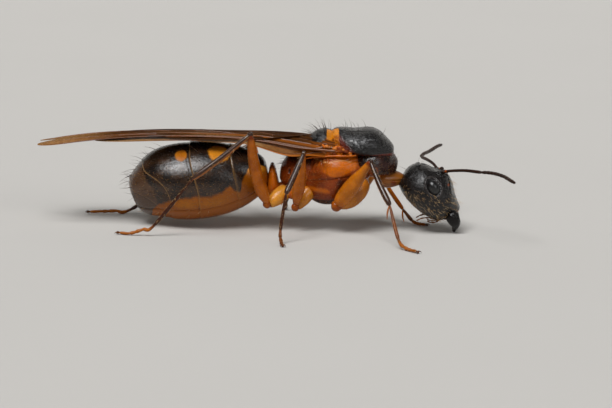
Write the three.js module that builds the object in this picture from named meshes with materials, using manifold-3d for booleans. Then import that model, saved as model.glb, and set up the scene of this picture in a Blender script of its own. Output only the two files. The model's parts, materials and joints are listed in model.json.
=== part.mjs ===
// A winged carpenter ant queen, standing, at life size.
// Millimetres, +Z up. The ant faces +X and its left side is +Y. The floor is z = 0.
// Every plate of its shell is a closed body of its own, with a hair's breadth between neighbours.
import * as THREE from 'three';
import { mergeVertices } from 'three/addons/utils/BufferGeometryUtils.js';
import Module from 'manifold-3d';

const wasm = await Module();
wasm.setup();

// ---------------------------------------------------------------- driving dimensions

const GAP = 0.03; // clearance between neighbouring plates
const SLIVER = 0.01; // chips thinner than this are smoothed away after a cut
const LIMB_RADIUS = 0.25; // a shin, foot or feeler, thick enough to handle
const WING_HALF_THICKNESS = 0.24;

// A plate of the shell is laid round a spine in the upright plane, from its rear end to its front
// end. The spine is a list of [x, z]. 'up', 'down' and 'half' are the section's heights above and
// below the spine and its half width, at equal steps along the spine. 'blunt' runs from 0, a flat
// end, to 1, an egg's end. 'square' runs from 1, a round section, towards 0, a box.
const BODY = {
  head: {
    spine: [[4.31, 2.4], [7.02, 1.12]],
    up: [1.25, 1.26, 1.17, 1.22, 0.8, 0.42],
    down: [0.5, 0.7, 0.84, 0.93, 0.95, 0.6],
    half: [1.0, 1.28, 1.36, 1.27, 1.08, 0.72],
    square: 0.88,
    rings: 14,
    around: 20,
  },
  neck: {
    spine: [[3.25, 2.45], [4.4, 2.42]],
    up: [0.5, 0.42, 0.3],
    down: [0.5, 0.42, 0.3],
    half: [0.95, 0.7, 0.4],
    rings: 8,
    around: 14,
  },
  pronotum: {
    spine: [[2.0, 3.3], [3.1, 3.1], [4.16, 2.86]],
    up: [0.75, 0.95, 0.75],
    down: [0.4, 0.6, 0.4],
    half: [1.3, 1.36, 0.72],
  },
  scutum: {
    spine: [[1.08, 4.12], [2.06, 4.08], [3.03, 3.98], [3.98, 3.68]],
    up: [0.72, 0.72, 0.8, 0.68],
    down: [0.4, 0.42, 0.42, 0.3],
    half: [1.05, 1.34, 1.3, 0.85],
    blunt: 0.42,
    around: 18,
  },
  scutellum: {
    spine: [[0.02, 4.0], [1.1, 4.2]],
    up: [0.42, 0.56, 0.56],
    down: [0.4, 0.42, 0.4],
    half: [0.7, 0.92, 0.85],
    rings: 9,
  },
  mesopleuron: {
    spine: [[-0.35, 2.7], [0.8, 2.55], [1.95, 2.85], [3.0, 3.1]],
    up: [1.0, 1.5, 1.15, 0.7],
    down: [0.8, 1.22, 1.0, 0.7],
    half: [1.05, 1.4, 1.4, 1.0],
    square: 0.85,
  },
  propodeum: {
    spine: [[-1.25, 2.25], [-0.45, 2.7], [0.5, 2.9]],
    up: [0.85, 1.05, 0.95],
    down: [0.62, 1.05, 1.1],
    half: [0.6, 1.0, 1.1],
    blunt: 0.42,
    rings: 9,
  },
  // The petiole's spine stands upright, so 'up' is its rear face and 'down' its front face.
  petiole: {
    spine: [[-1.42, 1.42], [-1.52, 2.1], [-1.6, 3.02]],
    up: [0.42, 0.3, 0.16],
    down: [0.38, 0.26, 0.16],
    half: [0.5, 0.72, 0.62],
    rings: 8,
    around: 12,
  },
};

const GASTER = {
  spine: [[-8.0, 1.38], [-6.52, 1.98], [-4.98, 2.1], [-3.43, 2.3], [-1.9, 2.55]],
  up: [1.2, 1.68, 1.78, 1.66, 1.25],
  down: [1.15, 1.75, 1.82, 1.66, 1.25],
  half: [1.3, 1.8, 1.88, 1.72, 1.3],
  around: 20,
};
const GASTER_RIMS = [0, 0.1, 0.22, 0.47, 0.765, 1]; // where its plates end, from the rear
const GASTER_FLARE = 0.03; // each plate is this much wider behind than in front

const EYE = { centre: [5.78, 1.08, 2.23], radii: [0.4, 0.36, 0.3], lean: 1.1, toe_in: 0.2 };
const TEGULA = { centre: [1.62, 1.4, 3.86], radii: [0.52, 0.2, 0.3], lean: 0.2, toe_in: 0 };

// Jaws, feelers and mouth feelers: the middle line's points, then the radii along it.
const MANDIBLE = {
  joints: [[6.5, 0.58, 1.02], [6.74, 0.62, 0.76], [6.88, 0.48, 0.42], [6.83, 0.24, 0.2]],
  radii: [0.22, 0.3, 0.26, 0.14],
  blunt: 0.5,
};
const PALP = {
  joints: [[6.15, 0.34, 0.5], [5.7, 0.42, 0.4], [5.3, 0.36, 0.52]],
  radii: [0.22, 0.25, 0.2],
};
const SCAPE = {
  right: [[6.28, -0.4, 2.98], [7.1, -1.1, 3.18], [8.03, -1.9, 3.17]],
  left: [[6.2, 0.44, 2.92], [5.75, 1.3, 3.16], [5.32, 2.3, 3.15]],
};
const FUNICULUS = {
  right: [[8.03, -1.9, 3.17], [8.7, -3.0, 3.23], [9.06, -3.8, 3.17], [9.31, -4.5, 3.05]],
  left: [[5.32, 2.3, 3.15], [5.55, 2.95, 3.2], [5.92, 3.8, 3.27], [6.41, 4.9, 3.29]],
};

// A leg's joints, from the body outwards. The last few points are the foot's.
const LEGS = {
  front_right: {
    hip: [2.66, -0.72, 2.35],
    trochanter: [1.35, -1.3, 1.16],
    knee: [2.91, -2.35, 3.54],
    ankle: [3.82, -3.6, 1.75],
    foot: [[4.22, -4.55, 0.5], [4.55, -5.0, 0.24], [5.03, -5.6, 0.24]],
  },
  mid_right: {
    hip: [0.12, -0.7, 1.85],
    trochanter: [-0.45, -1.2, 1.12],
    knee: [-0.13, -2.6, 3.89],
    ankle: [-0.89, -3.8, 2.2],
    foot: [[-1.09, -4.15, 0.62], [-1.05, -4.4, 0.24], [-0.98, -4.9, 0.24]],
  },
  hind_right: {
    hip: [-0.9, -0.62, 1.8],
    trochanter: [-1.73, -1.15, 1.24],
    knee: [-2.55, -2.9, 4.74],
    ankle: [-5.15, -3.3, 2.67],
    foot: [[-6.83, -3.1, 0.52], [-7.33, -3.05, 0.25], [-7.91, -3.0, 0.24], [-8.42, -2.9, 0.24]],
  },
  front_left: {
    hip: [2.68, 0.7, 2.2],
    trochanter: [1.58, 1.3, 0.95],
    knee: [3.37, 2.6, 2.4],
    ankle: [4.58, 2.0, 0.6],
    foot: [[5.1, 1.55, 0.26], [5.45, 1.3, 0.24], [5.96, 1.1, 0.24]],
  },
  mid_left: {
    hip: [0.12, 0.7, 1.75],
    trochanter: [-0.4, 1.25, 0.95],
    knee: [-0.1, 2.9, 3.1],
    ankle: [-0.75, 4.1, 1.45],
    foot: [[-0.9, 4.35, 0.5], [-0.95, 4.6, 0.24], [-0.95, 5.1, 0.24]],
  },
  hind_left: {
    hip: [-0.9, 0.62, 1.72],
    trochanter: [-1.76, 1.15, 1.0],
    knee: [-2.49, 3.5, 3.33],
    ankle: [-5.75, 3.0, 1.78],
    foot: [[-8.18, 2.5, 0.26], [-8.91, 2.25, 0.24], [-9.61, 2.2, 0.24], [-10.11, 2.1, 0.24]],
  },
};
// Radii along each part of a leg, from its upper joint to its lower one.
const COXA = { front: [0.3, 0.42, 0.4, 0.26], mid: [0.36, 0.34, 0.24], hind: [0.36, 0.36, 0.25] };
const FEMUR = { front: [0.25, 0.36, 0.33, 0.25], mid: [0.25, 0.31, 0.25], hind: [0.25, 0.34, 0.26] };

// Both pairs of wings lie folded back over the body. 'middle' is the distance from the body's
// upright plane to the wing's own middle line.
const FOREWING = {
  spine: [[-12.38, 3.7], [-9.9, 4.0], [-7.4, 4.14], [-5.0, 4.18], [-2.4, 4.14], [-0.3, 4.0], [1.4, 3.93]],
  middle: [0.72, 0.86, 0.9, 0.91, 0.93, 1.12, 1.36],
  half: [0.66, 0.83, 0.87, 0.88, 0.84, 0.5, 0.18],
};
const HINDWING = {
  spine: [[-9.65, 3.6], [-6.9, 3.75], [-4.2, 3.78], [-1.9, 3.74], [0.2, 3.64]],
  middle: [1.2, 1.36, 1.42, 1.42, 1.42],
  half: [0.3, 0.36, 0.36, 0.34, 0.2],
};
const WING_GAP = 0.06; // between a wing and the body under it

const COLOURS = {
  black: { color: 0x17110f, roughness: 0.35 },
  amber: { color: 0xb4661d, roughness: 0.4 },
  rust: { color: 0x8a3d14, roughness: 0.42 },
  brown: { color: 0x3b2213, roughness: 0.45 },
  toe: { color: 0xa8602a, roughness: 0.5 },
  eye: { color: 0x24211f, roughness: 0.3 },
  wing: { color: 0x5a3a20, roughness: 0.35 },
};

// ---------------------------------------------------------------- building functions

const ant = new THREE.Group();

// The size at u, from 0 to 1, on a smooth line through sizes given at equal steps.
function sizeAt(sizes, u) {
  return new THREE.SplineCurve(sizes.map((size, i) => new THREE.Vector2(i, size))).getPoint(u).y;
}

// Keeps the sign, and takes a rounding error as nothing, so that a seam's two sides still meet.
function signedPower(value, power) {
  return Math.abs(value) < 1e-9 ? 0 : Math.sign(value) * Math.abs(value) ** power;
}

// A closed geometry as a solid, with its faces turned outwards.
function solidOf(geometry) {
  geometry.deleteAttribute('normal');
  geometry.deleteAttribute('uv');
  const merged = mergeVertices(geometry, 1e-3);
  const index = merged.index.array;
  const place = merged.getAttribute('position');
  const faces = [];
  const [a, b, c] = [new THREE.Vector3(), new THREE.Vector3(), new THREE.Vector3()];
  let volume = 0;
  for (let i = 0; i < index.length; i += 3) {
    const [p, q, r] = index.slice(i, i + 3);
    if (p !== q && q !== r && r !== p) {
      faces.push([p, q, r]);
      a.fromBufferAttribute(place, p);
      b.fromBufferAttribute(place, q);
      c.fromBufferAttribute(place, r);
      volume += a.dot(b.cross(c));
    }
  }
  const triVerts = new Uint32Array(faces.flatMap(([p, q, r]) => (volume > 0 ? [p, q, r] : [p, r, q])));
  const mesh = new wasm.Mesh({ numProp: 3, vertProperties: place.array, triVerts });
  return new wasm.Manifold(mesh);
}

// Moves each vertex of a unit cylinder, whose ends may close to a point, by the function 'lay',
// which is given how far along (0 to 1), the end's fullness and the direction across.
function laid({ around = 16, rings = 11, from = 0, to = 1, blunt = 0.5 }, lay) {
  const geometry = new THREE.CylinderGeometry(1, 1, 1, around, rings);
  const place = geometry.getAttribute('position');
  const vertex = new THREE.Vector3();
  const start = Math.acos(1 - 2 * from);
  const end = Math.acos(1 - 2 * to);
  for (let i = 0; i < place.count; i += 1) {
    vertex.fromBufferAttribute(place, i);
    const turn = start + (vertex.y + 0.5) * (end - start);
    const u = (1 - Math.cos(turn)) / 2;
    const full = Math.max(Math.sin(turn), 0) ** blunt;
    const rim = turn < 1e-6 || turn > Math.PI - 1e-6 ? 0 : full;
    lay(u, vertex.x * rim, vertex.z * rim, vertex);
    place.setXYZ(i, vertex.x, vertex.y, vertex.z);
  }
  return solidOf(geometry);
}

// A plate of the shell, grown outwards all round by 'grow'.
function plate(shape, grow = 0) {
  const { spine, up, down, half, middle, square = 1, flare = 0, side = 1 } = shape;
  const line = new THREE.CatmullRomCurve3(spine.map(([x, z]) => new THREE.Vector3(x, 0, z)));
  return laid(shape, (u, across, rise, vertex) => {
    const at = line.getPoint(u);
    const heading = line.getTangent(u);
    const reach = Math.hypot(across, rise);
    const widen = 1 + flare * (0.5 - (u - (shape.from ?? 0)) / ((shape.to ?? 1) - (shape.from ?? 0)));
    const turn = (value) => (reach ? reach * signedPower(value / reach, square) : 0);
    const height = widen * (sizeAt(rise > 0 ? up : down, u) + grow) * turn(rise);
    const width = widen * (sizeAt(half, u) + grow) * turn(across);
    const push = grow * (2 * u - 1);
    const offset = middle ? sizeAt(middle, u) : 0;
    vertex.set(
      at.x - heading.z * height + heading.x * push,
      side * (offset + width),
      at.z + heading.x * height + heading.z * push,
    );
  });
}

// A limb along its joints, round in section, resting on the floor where it would sink below it.
function limb({ joints, radii, blunt = 0.32, around = 8, rings = 6, inset = GAP / 2 }, grow = 0) {
  const line = new THREE.CatmullRomCurve3(joints.map((joint) => new THREE.Vector3(...joint)));
  const run = line.getPointAt(1).sub(line.getPointAt(0)).normalize();
  const thinnest = [0, 1, 2].reduce((a, b) => {
    return Math.abs(run.getComponent(b)) < Math.abs(run.getComponent(a)) ? b : a;
  });
  const guide = new THREE.Vector3().setComponent(thinnest, 1);
  const clear = (inset - grow) / line.getLength();
  return laid({ around, rings, blunt }, (u, across, rise, vertex) => {
    const at = line.getPointAt(Math.min(Math.max(clear + u * (1 - 2 * clear), 0), 1));
    const heading = line.getTangentAt(u);
    const sideways = new THREE.Vector3().crossVectors(heading, guide).normalize();
    const upwards = new THREE.Vector3().crossVectors(sideways, heading);
    const radius = sizeAt(radii, u) + grow;
    vertex.copy(at);
    vertex.addScaledVector(sideways, across * radius);
    vertex.addScaledVector(upwards, rise * radius);
    vertex.z = Math.max(vertex.z, 0);
  });
}

// An egg shape, such as an eye: leaned about Y, toed in about Z, then put in place.
function egg({ centre, radii, lean, toe_in }, side) {
  const geometry = new THREE.SphereGeometry(1, 12, 8);
  geometry.scale(...radii);
  geometry.rotateY(lean);
  geometry.rotateZ(-toe_in);
  geometry.translate(...centre);
  geometry.scale(1, side, 1);
  return solidOf(geometry);
}

function mirrored(points, side) {
  return points.map(([x, y, z]) => [x, side * y, z]);
}

function cut(solid, cutters) {
  return cutters.reduce((left, cutter) => left.subtract(cutter), solid).simplify(SLIVER);
}

// Adds a solid to the ant as a named mesh of its own material. Of the bodies that a cut leaves,
// only the largest is kept.
function add(name, colour, solid) {
  const largest = solid.decompose().sort((a, b) => b.volume() - a.volume())[0];
  const { vertProperties, triVerts } = largest.getMesh();
  const geometry = new THREE.BufferGeometry();
  geometry.setAttribute('position', new THREE.BufferAttribute(vertProperties, 3));
  geometry.setIndex(new THREE.BufferAttribute(triVerts, 1));
  geometry.computeVertexNormals();
  const mesh = new THREE.Mesh(geometry, new THREE.MeshStandardMaterial({ ...COLOURS[colour], metalness: 0 }));
  mesh.name = name;
  ant.add(mesh);
}

// ---------------------------------------------------------------- head

const grown = {};
for (const name of Object.keys(BODY)) {
  grown[name] = plate(BODY[name], GAP);
}

function buildHead() {
  add('head_capsule', 'black', plate(BODY.head));
  for (const [name, side] of [['left', 1], ['right', -1]]) {
    const jaw = (extra) => limb({ ...MANDIBLE, joints: mirrored(MANDIBLE.joints, side) }, extra);
    const feeler = { joints: SCAPE[name], radii: [0.25, LIMB_RADIUS, LIMB_RADIUS] };
    const whip = { joints: FUNICULUS[name], radii: [0.25, 0.26, LIMB_RADIUS, 0.22], rings: 10 };
    add('eye_' + name, 'eye', cut(egg(EYE, side), [grown.head]));
    add('mandible_' + name, 'black', cut(jaw(0), [grown.head]));
    const mouth_feeler = limb({ ...PALP, joints: mirrored(PALP.joints, side) });
    add('palp_' + name, 'amber', cut(mouth_feeler, [grown.head, jaw(GAP)]));
    add('scape_' + name, 'brown', cut(limb(feeler), [grown.head]));
    add('funiculus_' + name, 'brown', cut(limb(whip), [limb(feeler, GAP)]));
  }
}

// ---------------------------------------------------------------- thorax and petiole

function buildThorax() {
  const { head, pronotum, scutum, scutellum, mesopleuron, propodeum } = grown;
  add('scutum', 'black', plate(BODY.scutum));
  add('scutellum', 'black', cut(plate(BODY.scutellum), [scutum]));
  add('pronotum', 'rust', cut(plate(BODY.pronotum), [scutum, head]));
  add('mesopleuron', 'amber', cut(plate(BODY.mesopleuron), [scutum, scutellum, pronotum]));
  add('propodeum', 'rust', cut(plate(BODY.propodeum), [scutum, scutellum, mesopleuron]));
  add('neck', 'amber', cut(plate(BODY.neck), [head, pronotum, mesopleuron]));
  add('petiole', 'rust', cut(plate(BODY.petiole), [propodeum]));
  for (const [name, side] of [['left', 1], ['right', -1]]) {
    add('tegula_' + name, 'rust', cut(egg(TEGULA, side), [scutum, mesopleuron, pronotum, scutellum]));
  }
}

// ---------------------------------------------------------------- gaster

function buildGaster() {
  for (let i = 1; i < GASTER_RIMS.length; i += 1) {
    const from = GASTER_RIMS[i - 1];
    const to = GASTER_RIMS[i];
    const clear = i === 1 ? 0 : GAP / 12;
    const rings = to - from > 0.2 ? 6 : 4;
    const shape = { ...GASTER, from: from + clear, to, rings, flare: GASTER_FLARE };
    const name = 'gaster_' + (GASTER_RIMS.length - i);
    const colour = i < 4 ? 'brown' : 'black';
    add(name, colour, cut(plate(shape), to === 1 ? [grown.petiole] : []));
  }
}

// ---------------------------------------------------------------- legs

function buildLegs() {
  const { pronotum, mesopleuron, propodeum, petiole, neck, head } = grown;
  const belly = plate(GASTER, GAP);
  for (const [name, leg] of Object.entries(LEGS)) {
    const pair = name.split('_')[0];
    const coxa = { joints: [leg.hip, leg.trochanter], radii: COXA[pair], blunt: 0.5, rings: 6 };
    const femur = { joints: [leg.trochanter, leg.knee], radii: FEMUR[pair] };
    const tibia = { joints: [leg.knee, leg.ankle], radii: [0.25, 0.26, LIMB_RADIUS] };
    const tarsus = { joints: [leg.ankle, ...leg.foot], radii: [LIMB_RADIUS, LIMB_RADIUS], rings: 10 };
    const trunk = [pronotum, mesopleuron, propodeum, petiole, neck, head, belly];
    add('coxa_' + name, 'amber', cut(limb(coxa), trunk));
    add('femur_' + name, 'amber', cut(limb(femur), [...trunk, limb(coxa, GAP)]));
    add('tibia_' + name, 'brown', cut(limb(tibia), [limb(femur, GAP)]));
    add('tarsus_' + name, 'toe', cut(limb(tarsus), [limb(tibia, GAP)]));
  }
}

// ---------------------------------------------------------------- wings

function buildWings() {
  const { scutum, scutellum, mesopleuron, propodeum, pronotum } = grown;
  const belly = plate(GASTER, WING_GAP);
  const thick = WING_HALF_THICKNESS;
  for (const [name, side] of [['left', 1], ['right', -1]]) {
    const sheet = { square: 0.35, blunt: 0.4, around: 10, rings: 10, side, up: [thick, thick], down: [thick, thick] };
    const trunk = [scutum, scutellum, mesopleuron, propodeum, pronotum, belly];
    const tegula = egg({ ...TEGULA, radii: TEGULA.radii.map((radius) => radius + GAP) }, side);
    const fore = (extra) => plate({ ...sheet, ...FOREWING }, extra);
    add('forewing_' + name, 'wing', cut(fore(0), [...trunk, tegula]));
    add('hindwing_' + name, 'wing', cut(plate({ ...sheet, ...HINDWING }), [...trunk, fore(GAP)]));
  }
}

buildHead();
buildThorax();
buildGaster();
buildLegs();
buildWings();

// The origin is on the floor, under the middle of the whole ant.
const reach = new THREE.Box3().setFromObject(ant);
ant.position.set(-(reach.min.x + reach.max.x) / 2, -(reach.min.y + reach.max.y) / 2, 0);

export default ant;
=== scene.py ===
import itertools
import json
import math

import bpy
import numpy as np
from mathutils import Euler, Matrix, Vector

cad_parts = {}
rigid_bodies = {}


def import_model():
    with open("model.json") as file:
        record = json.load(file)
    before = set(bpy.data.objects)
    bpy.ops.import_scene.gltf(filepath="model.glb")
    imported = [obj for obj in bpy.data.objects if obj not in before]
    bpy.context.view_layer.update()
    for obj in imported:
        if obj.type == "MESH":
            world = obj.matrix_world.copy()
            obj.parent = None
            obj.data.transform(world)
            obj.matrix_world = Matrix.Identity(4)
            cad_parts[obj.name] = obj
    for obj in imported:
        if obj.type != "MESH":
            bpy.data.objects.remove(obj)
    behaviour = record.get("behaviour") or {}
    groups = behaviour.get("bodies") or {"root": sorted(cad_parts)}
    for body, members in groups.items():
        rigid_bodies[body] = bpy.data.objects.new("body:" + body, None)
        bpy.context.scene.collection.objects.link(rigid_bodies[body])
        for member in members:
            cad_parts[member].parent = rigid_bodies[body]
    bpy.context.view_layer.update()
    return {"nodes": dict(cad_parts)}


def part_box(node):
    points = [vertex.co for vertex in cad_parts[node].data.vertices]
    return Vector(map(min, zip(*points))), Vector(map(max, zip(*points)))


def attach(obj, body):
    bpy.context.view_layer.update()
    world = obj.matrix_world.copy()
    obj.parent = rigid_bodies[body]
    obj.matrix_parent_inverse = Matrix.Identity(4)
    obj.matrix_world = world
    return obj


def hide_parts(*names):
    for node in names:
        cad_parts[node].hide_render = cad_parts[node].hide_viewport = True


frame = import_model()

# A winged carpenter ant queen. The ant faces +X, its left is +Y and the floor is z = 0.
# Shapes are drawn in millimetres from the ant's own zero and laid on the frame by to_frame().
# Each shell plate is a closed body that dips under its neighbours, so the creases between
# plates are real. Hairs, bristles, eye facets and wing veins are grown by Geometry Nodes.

MM = 0.001
SIDES = (("left", 1), ("right", -1))

# The ant's own zero lies on the floor, this far behind the middle of its scutum.
SCUTUM_AHEAD = 2.53
scutum_low, scutum_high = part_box("scutum")
ZERO = (scutum_low + scutum_high) / 2
ZERO = np.array([ZERO.x - SCUTUM_AHEAD * MM, ZERO.y, 0.0])


def to_frame(points):
    """Drawing millimetres to the frame's metres."""
    return np.asarray(points, float) * MM + ZERO


def to_drawing(points):
    """The frame's metres to drawing millimetres."""
    return (np.asarray(points, float) - ZERO) / MM


def on_side(points, side):
    """Points drawn for the left, moved to the side asked for: 1 is left and -1 is right."""
    return np.asarray(points, float) * (1, side, 1)


# ------------------------------------------------------------------ curves and sizes


def smooth(values, t, extend=False):
    """A smooth line through values given at equal steps, read at t from 0 to 1. With 'extend' it
    leaves its ends as it would if it went on."""
    values = np.asarray(values, float)
    last = len(values) - 1
    before = 2 * values[0] - values[1] if extend else values[0]
    after = 2 * values[-1] - values[-2] if extend else values[-1]
    padded = np.concatenate([[before], values, [after]])
    place = np.clip(np.asarray(t, float), 0, 1) * last
    i = np.minimum(place.astype(int), last - 1)
    w = place - i
    if values.ndim > 1:
        w = w[..., None]
    a, b, c, d = (padded[i + k] for k in range(4))
    cubic = (3 * b - a - 3 * c + d) * w**3
    return 0.5 * (2 * b + (c - a) * w + (2 * a - 5 * b + 4 * c - d) * w**2 + cubic)


def ease(low, high, value):
    """0 below low, 1 above high, and smooth between. Low may be the larger of the two."""
    t = np.clip((np.asarray(value, float) - low) / (high - low), 0, 1)
    return t * t * (3 - 2 * t)


def hump(centre, width, value):
    return np.exp(-(((np.asarray(value, float) - centre) / width) ** 2))


def edge(value, at, soft):
    """A marking's strength: 0.5 where value passes 'at'. The finish sharpens it."""
    return np.clip(0.5 + (np.asarray(value, float) - at) / (2 * soft), 0, 1)


def unit(vectors):
    vectors = np.asarray(vectors, float)
    length = np.linalg.norm(vectors, axis=-1, keepdims=True)
    return vectors / np.maximum(length, 1e-12)


# ------------------------------------------------------------------ finishes


class Bench:
    """Adds nodes to one material. Patterns are in millimetres of the frame."""

    def __init__(self, name):
        self.material = bpy.data.materials.new(name)
        self.material.use_nodes = True
        self.tree = self.material.node_tree
        self.shader = self.tree.nodes["Principled BSDF"]
        place = self.add("ShaderNodeTexCoord").outputs["Object"]
        scaled = self.add("ShaderNodeVectorMath", operation="SCALE")
        scaled.inputs["Scale"].default_value = 1 / MM
        self.tree.links.new(place, scaled.inputs[0])
        self.place = scaled.outputs[0]

    def add(self, kind, **settings):
        node = self.tree.nodes.new(kind)
        for key, value in settings.items():
            setattr(node, key, value)
        return node

    def plug(self, socket, value):
        if isinstance(value, bpy.types.NodeSocket):
            self.tree.links.new(value, socket)
        else:
            socket.default_value = value

    def set(self, **values):
        """Sets the shader's own sockets: base_color=..., coat_weight=... and so on."""
        for key, value in values.items():
            words = key.replace("_", " ").title().replace("Ior", "IOR")
            self.plug(self.shader.inputs[words], value)

    def mark(self, name):
        return self.add("ShaderNodeAttribute", attribute_name=name).outputs["Fac"]

    def math(self, operation, a, b=0.0):
        node = self.add("ShaderNodeMath", operation=operation)
        self.plug(node.inputs[0], a)
        self.plug(node.inputs[1], b)
        return node.outputs[0]

    def noise(self, scale, detail=3.0, stretch=None):
        place = self.place
        if stretch:
            node = self.add("ShaderNodeVectorMath", operation="MULTIPLY")
            self.plug(node.inputs[0], place)
            node.inputs[1].default_value = stretch
            place = node.outputs[0]
        node = self.add("ShaderNodeTexNoise")
        self.plug(node.inputs["Vector"], place)
        node.inputs["Scale"].default_value = scale
        node.inputs["Detail"].default_value = detail
        return node.outputs["Fac"]

    def cells(self, scale):
        node = self.add("ShaderNodeTexVoronoi", feature="DISTANCE_TO_EDGE")
        self.plug(node.inputs["Vector"], self.place)
        node.inputs["Scale"].default_value = scale
        return node.outputs["Distance"]

    def ramp(self, value, low, high, out_low=0.0, out_high=1.0):
        node = self.add("ShaderNodeMapRange", interpolation_type="SMOOTHSTEP")
        self.plug(node.inputs["Value"], value)
        for socket, number in zip(node.inputs[1:5], (low, high, out_low, out_high)):
            socket.default_value = number
        return node.outputs[0]

    def mix(self, amount, a, b):
        node = self.add("ShaderNodeMix", data_type="RGBA")
        self.plug(node.inputs["Factor"], amount)
        for socket, colour in zip(node.inputs[6:8], (a, b)):
            self.plug(socket, colour if isinstance(colour, bpy.types.NodeSocket) else (*colour, 1.0))
        return node.outputs[2]

    def bump(self, height, depth, strength=1.0, under=None):
        """A bump of 'depth' millimetres, on top of another bump if one is given."""
        node = self.add("ShaderNodeBump")
        node.inputs["Strength"].default_value = strength
        node.inputs["Distance"].default_value = depth * MM
        self.plug(node.inputs["Height"], height)
        if under:
            self.plug(node.inputs["Normal"], under)
        return node.outputs["Normal"]


def shell_finish(name, ground, bright, dark, rim=(0.14, 0.06, 0.016), gloss=0.24, grain=0.003,
                 cell=18.0, speckle=0.006, shine=0.22, flesh=0.0, coat=0.0, deep=None, soft=0.12,
                 wave=0.02):
    """Insect shell: a ground colour, with the marks 'glow', 'deep', 'shade' and 'rim' laid over it.
    'coat' is a clear varnish, which the bright markings go without."""
    bench = Bench(name)
    wander = bench.math("SUBTRACT", bench.noise(5.0, 4.0), 0.5)
    mottle = bench.noise(1.6, 4.0)
    fine = bench.noise(14.0, 3.0)

    def sharpened(mark):
        loose = bench.math("ADD", bench.mark(mark), bench.math("MULTIPLY", wander, 0.4))
        return bench.ramp(loose, 0.5 - soft, 0.5 + soft)

    muted = tuple(0.5 * g + 0.5 * d for g, d in zip(ground, dark))
    colour = bench.mix(bench.ramp(mottle, 0.35, 0.7), ground, muted)
    glow = bench.mix(bench.ramp(mottle, 0.3, 0.75), bright, tuple(0.65 * b for b in bright))
    glow = bench.mix(bench.mark("deep"), glow, deep or tuple(0.45 * b for b in bright))
    bright_part = sharpened("glow")
    colour = bench.mix(bright_part, colour, glow)
    colour = bench.mix(sharpened("shade"), colour, dark)
    # rim is a pale edge colour, made patchy; on the head's eye rings and the thorax's upper side it is a
    # painted highlight.
    patchy_rim_and_highlight = bench.math("MULTIPLY", bench.mark("rim"), bench.ramp(fine, 0.3, 0.6, 0.35, 0.95))
    colour = bench.mix(patchy_rim_and_highlight, colour, rim)
    colour = bench.mix(bench.ramp(fine, 0.35, 0.75, 0.0, 0.22), colour, dark)
    rough = bench.ramp(fine, 0.3, 0.75, gloss - 0.05, gloss + 0.1)
    pits = bench.bump(bench.ramp(bench.cells(cell), 0.0, 0.45), grain)
    pimples = bench.bump(bench.noise(11.0, 2.0), speckle, 1.0, pits)
    waves = bench.bump(bench.noise(2.5, 1.0), wave, 0.5, pimples)
    bench.set(base_color=colour, roughness=rough, normal=waves, specular_ior_level=shine)
    if coat:
        bench.set(coat_weight=bench.ramp(bright_part, 0.0, 1.0, coat, coat * 0.5), coat_roughness=gloss)
        bench.set(coat_normal=waves)
    if flesh:
        bench.set(subsurface_weight=flesh, subsurface_scale=0.3 * MM)
        bench.shader.inputs["Subsurface Radius"].default_value = (1.0, 0.25, 0.02)
    return bench.material


def hair_finish(name, root, tip, gloss=0.35):
    bench = Bench(name)
    colour = bench.mix(bench.ramp(bench.noise(9.0, 2.0), 0.35, 0.65), root, tip)
    bench.set(base_color=colour, roughness=gloss, specular_ior_level=0.6)
    return bench.material


def eye_finish():
    """A dark compound eye whose facets catch the light."""
    bench = Bench("compound_eye")
    cloud = bench.ramp(bench.noise(3.0, 3.0), 0.35, 0.7)
    colour = bench.mix(cloud, (0.0012, 0.0011, 0.0012), (0.004, 0.0034, 0.0036))
    bench.set(base_color=colour, roughness=bench.ramp(bench.noise(14.0), 0.3, 0.7, 0.28, 0.34))
    bench.set(specular_ior_level=0.6)
    return bench.material


def wing_finish():
    """Thin smoky brown membrane, rippled, with an orange root, dark lines partly of painted shade, and pale
    flecked gold lines and patches that are painted glints and glitter.
    """
    bench = Bench("wing_membrane")
    smoke = bench.ramp(bench.noise(1.1, 3.0, (0.35, 1.6, 1.0)), 0.3, 0.7)
    streak = bench.ramp(bench.noise(2.2, 2.0, (0.2, 4.0, 1.0)), 0.35, 0.65)
    colour = bench.mix(smoke, (0.135, 0.045, 0.006), (0.052, 0.017, 0.003))
    colour = bench.mix(bench.math("MULTIPLY", streak, 0.5), colour, (0.028, 0.010, 0.004))
    colour = bench.mix(bench.mark("glow"), colour, (0.42, 0.11, 0.008))
    colour = bench.mix(bench.mark("shade"), colour, (0.020, 0.007, 0.003))
    # The pale gold under the rim mark is mostly painted glints and glitter, flecked; the wing's tip takes it
    # too.
    flecks = bench.ramp(bench.noise(9.0, 2.0), 0.35, 0.6, 0.45, 1.0)
    colour = bench.mix(bench.math("MULTIPLY", bench.mark("rim"), flecks), colour, (0.60, 0.35, 0.12))
    ripple = bench.bump(bench.noise(4.5, 3.0, (0.5, 1.6, 1.0)), 0.03, 0.7)
    creased = bench.math("MULTIPLY", bench.noise(9.0, 3.0), bench.mark("crinkle"))
    crinkle = bench.bump(creased, 0.08, 1.0, ripple)
    grain = bench.bump(bench.cells(16.0), 0.006, 0.5, crinkle)
    see = bench.math("ADD", 0.76, bench.math("MULTIPLY", smoke, 0.16))
    bench.set(base_color=colour, roughness=0.6, normal=grain, alpha=see, specular_ior_level=0.03)
    return bench.material


HONEY = (0.76, 0.31, 0.030)
RUST = (0.24, 0.040, 0.0035)
BARK = (0.050, 0.010, 0.003)
INK = (0.0045, 0.0036, 0.0036)
COAL = (0.002, 0.0018, 0.002)

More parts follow.
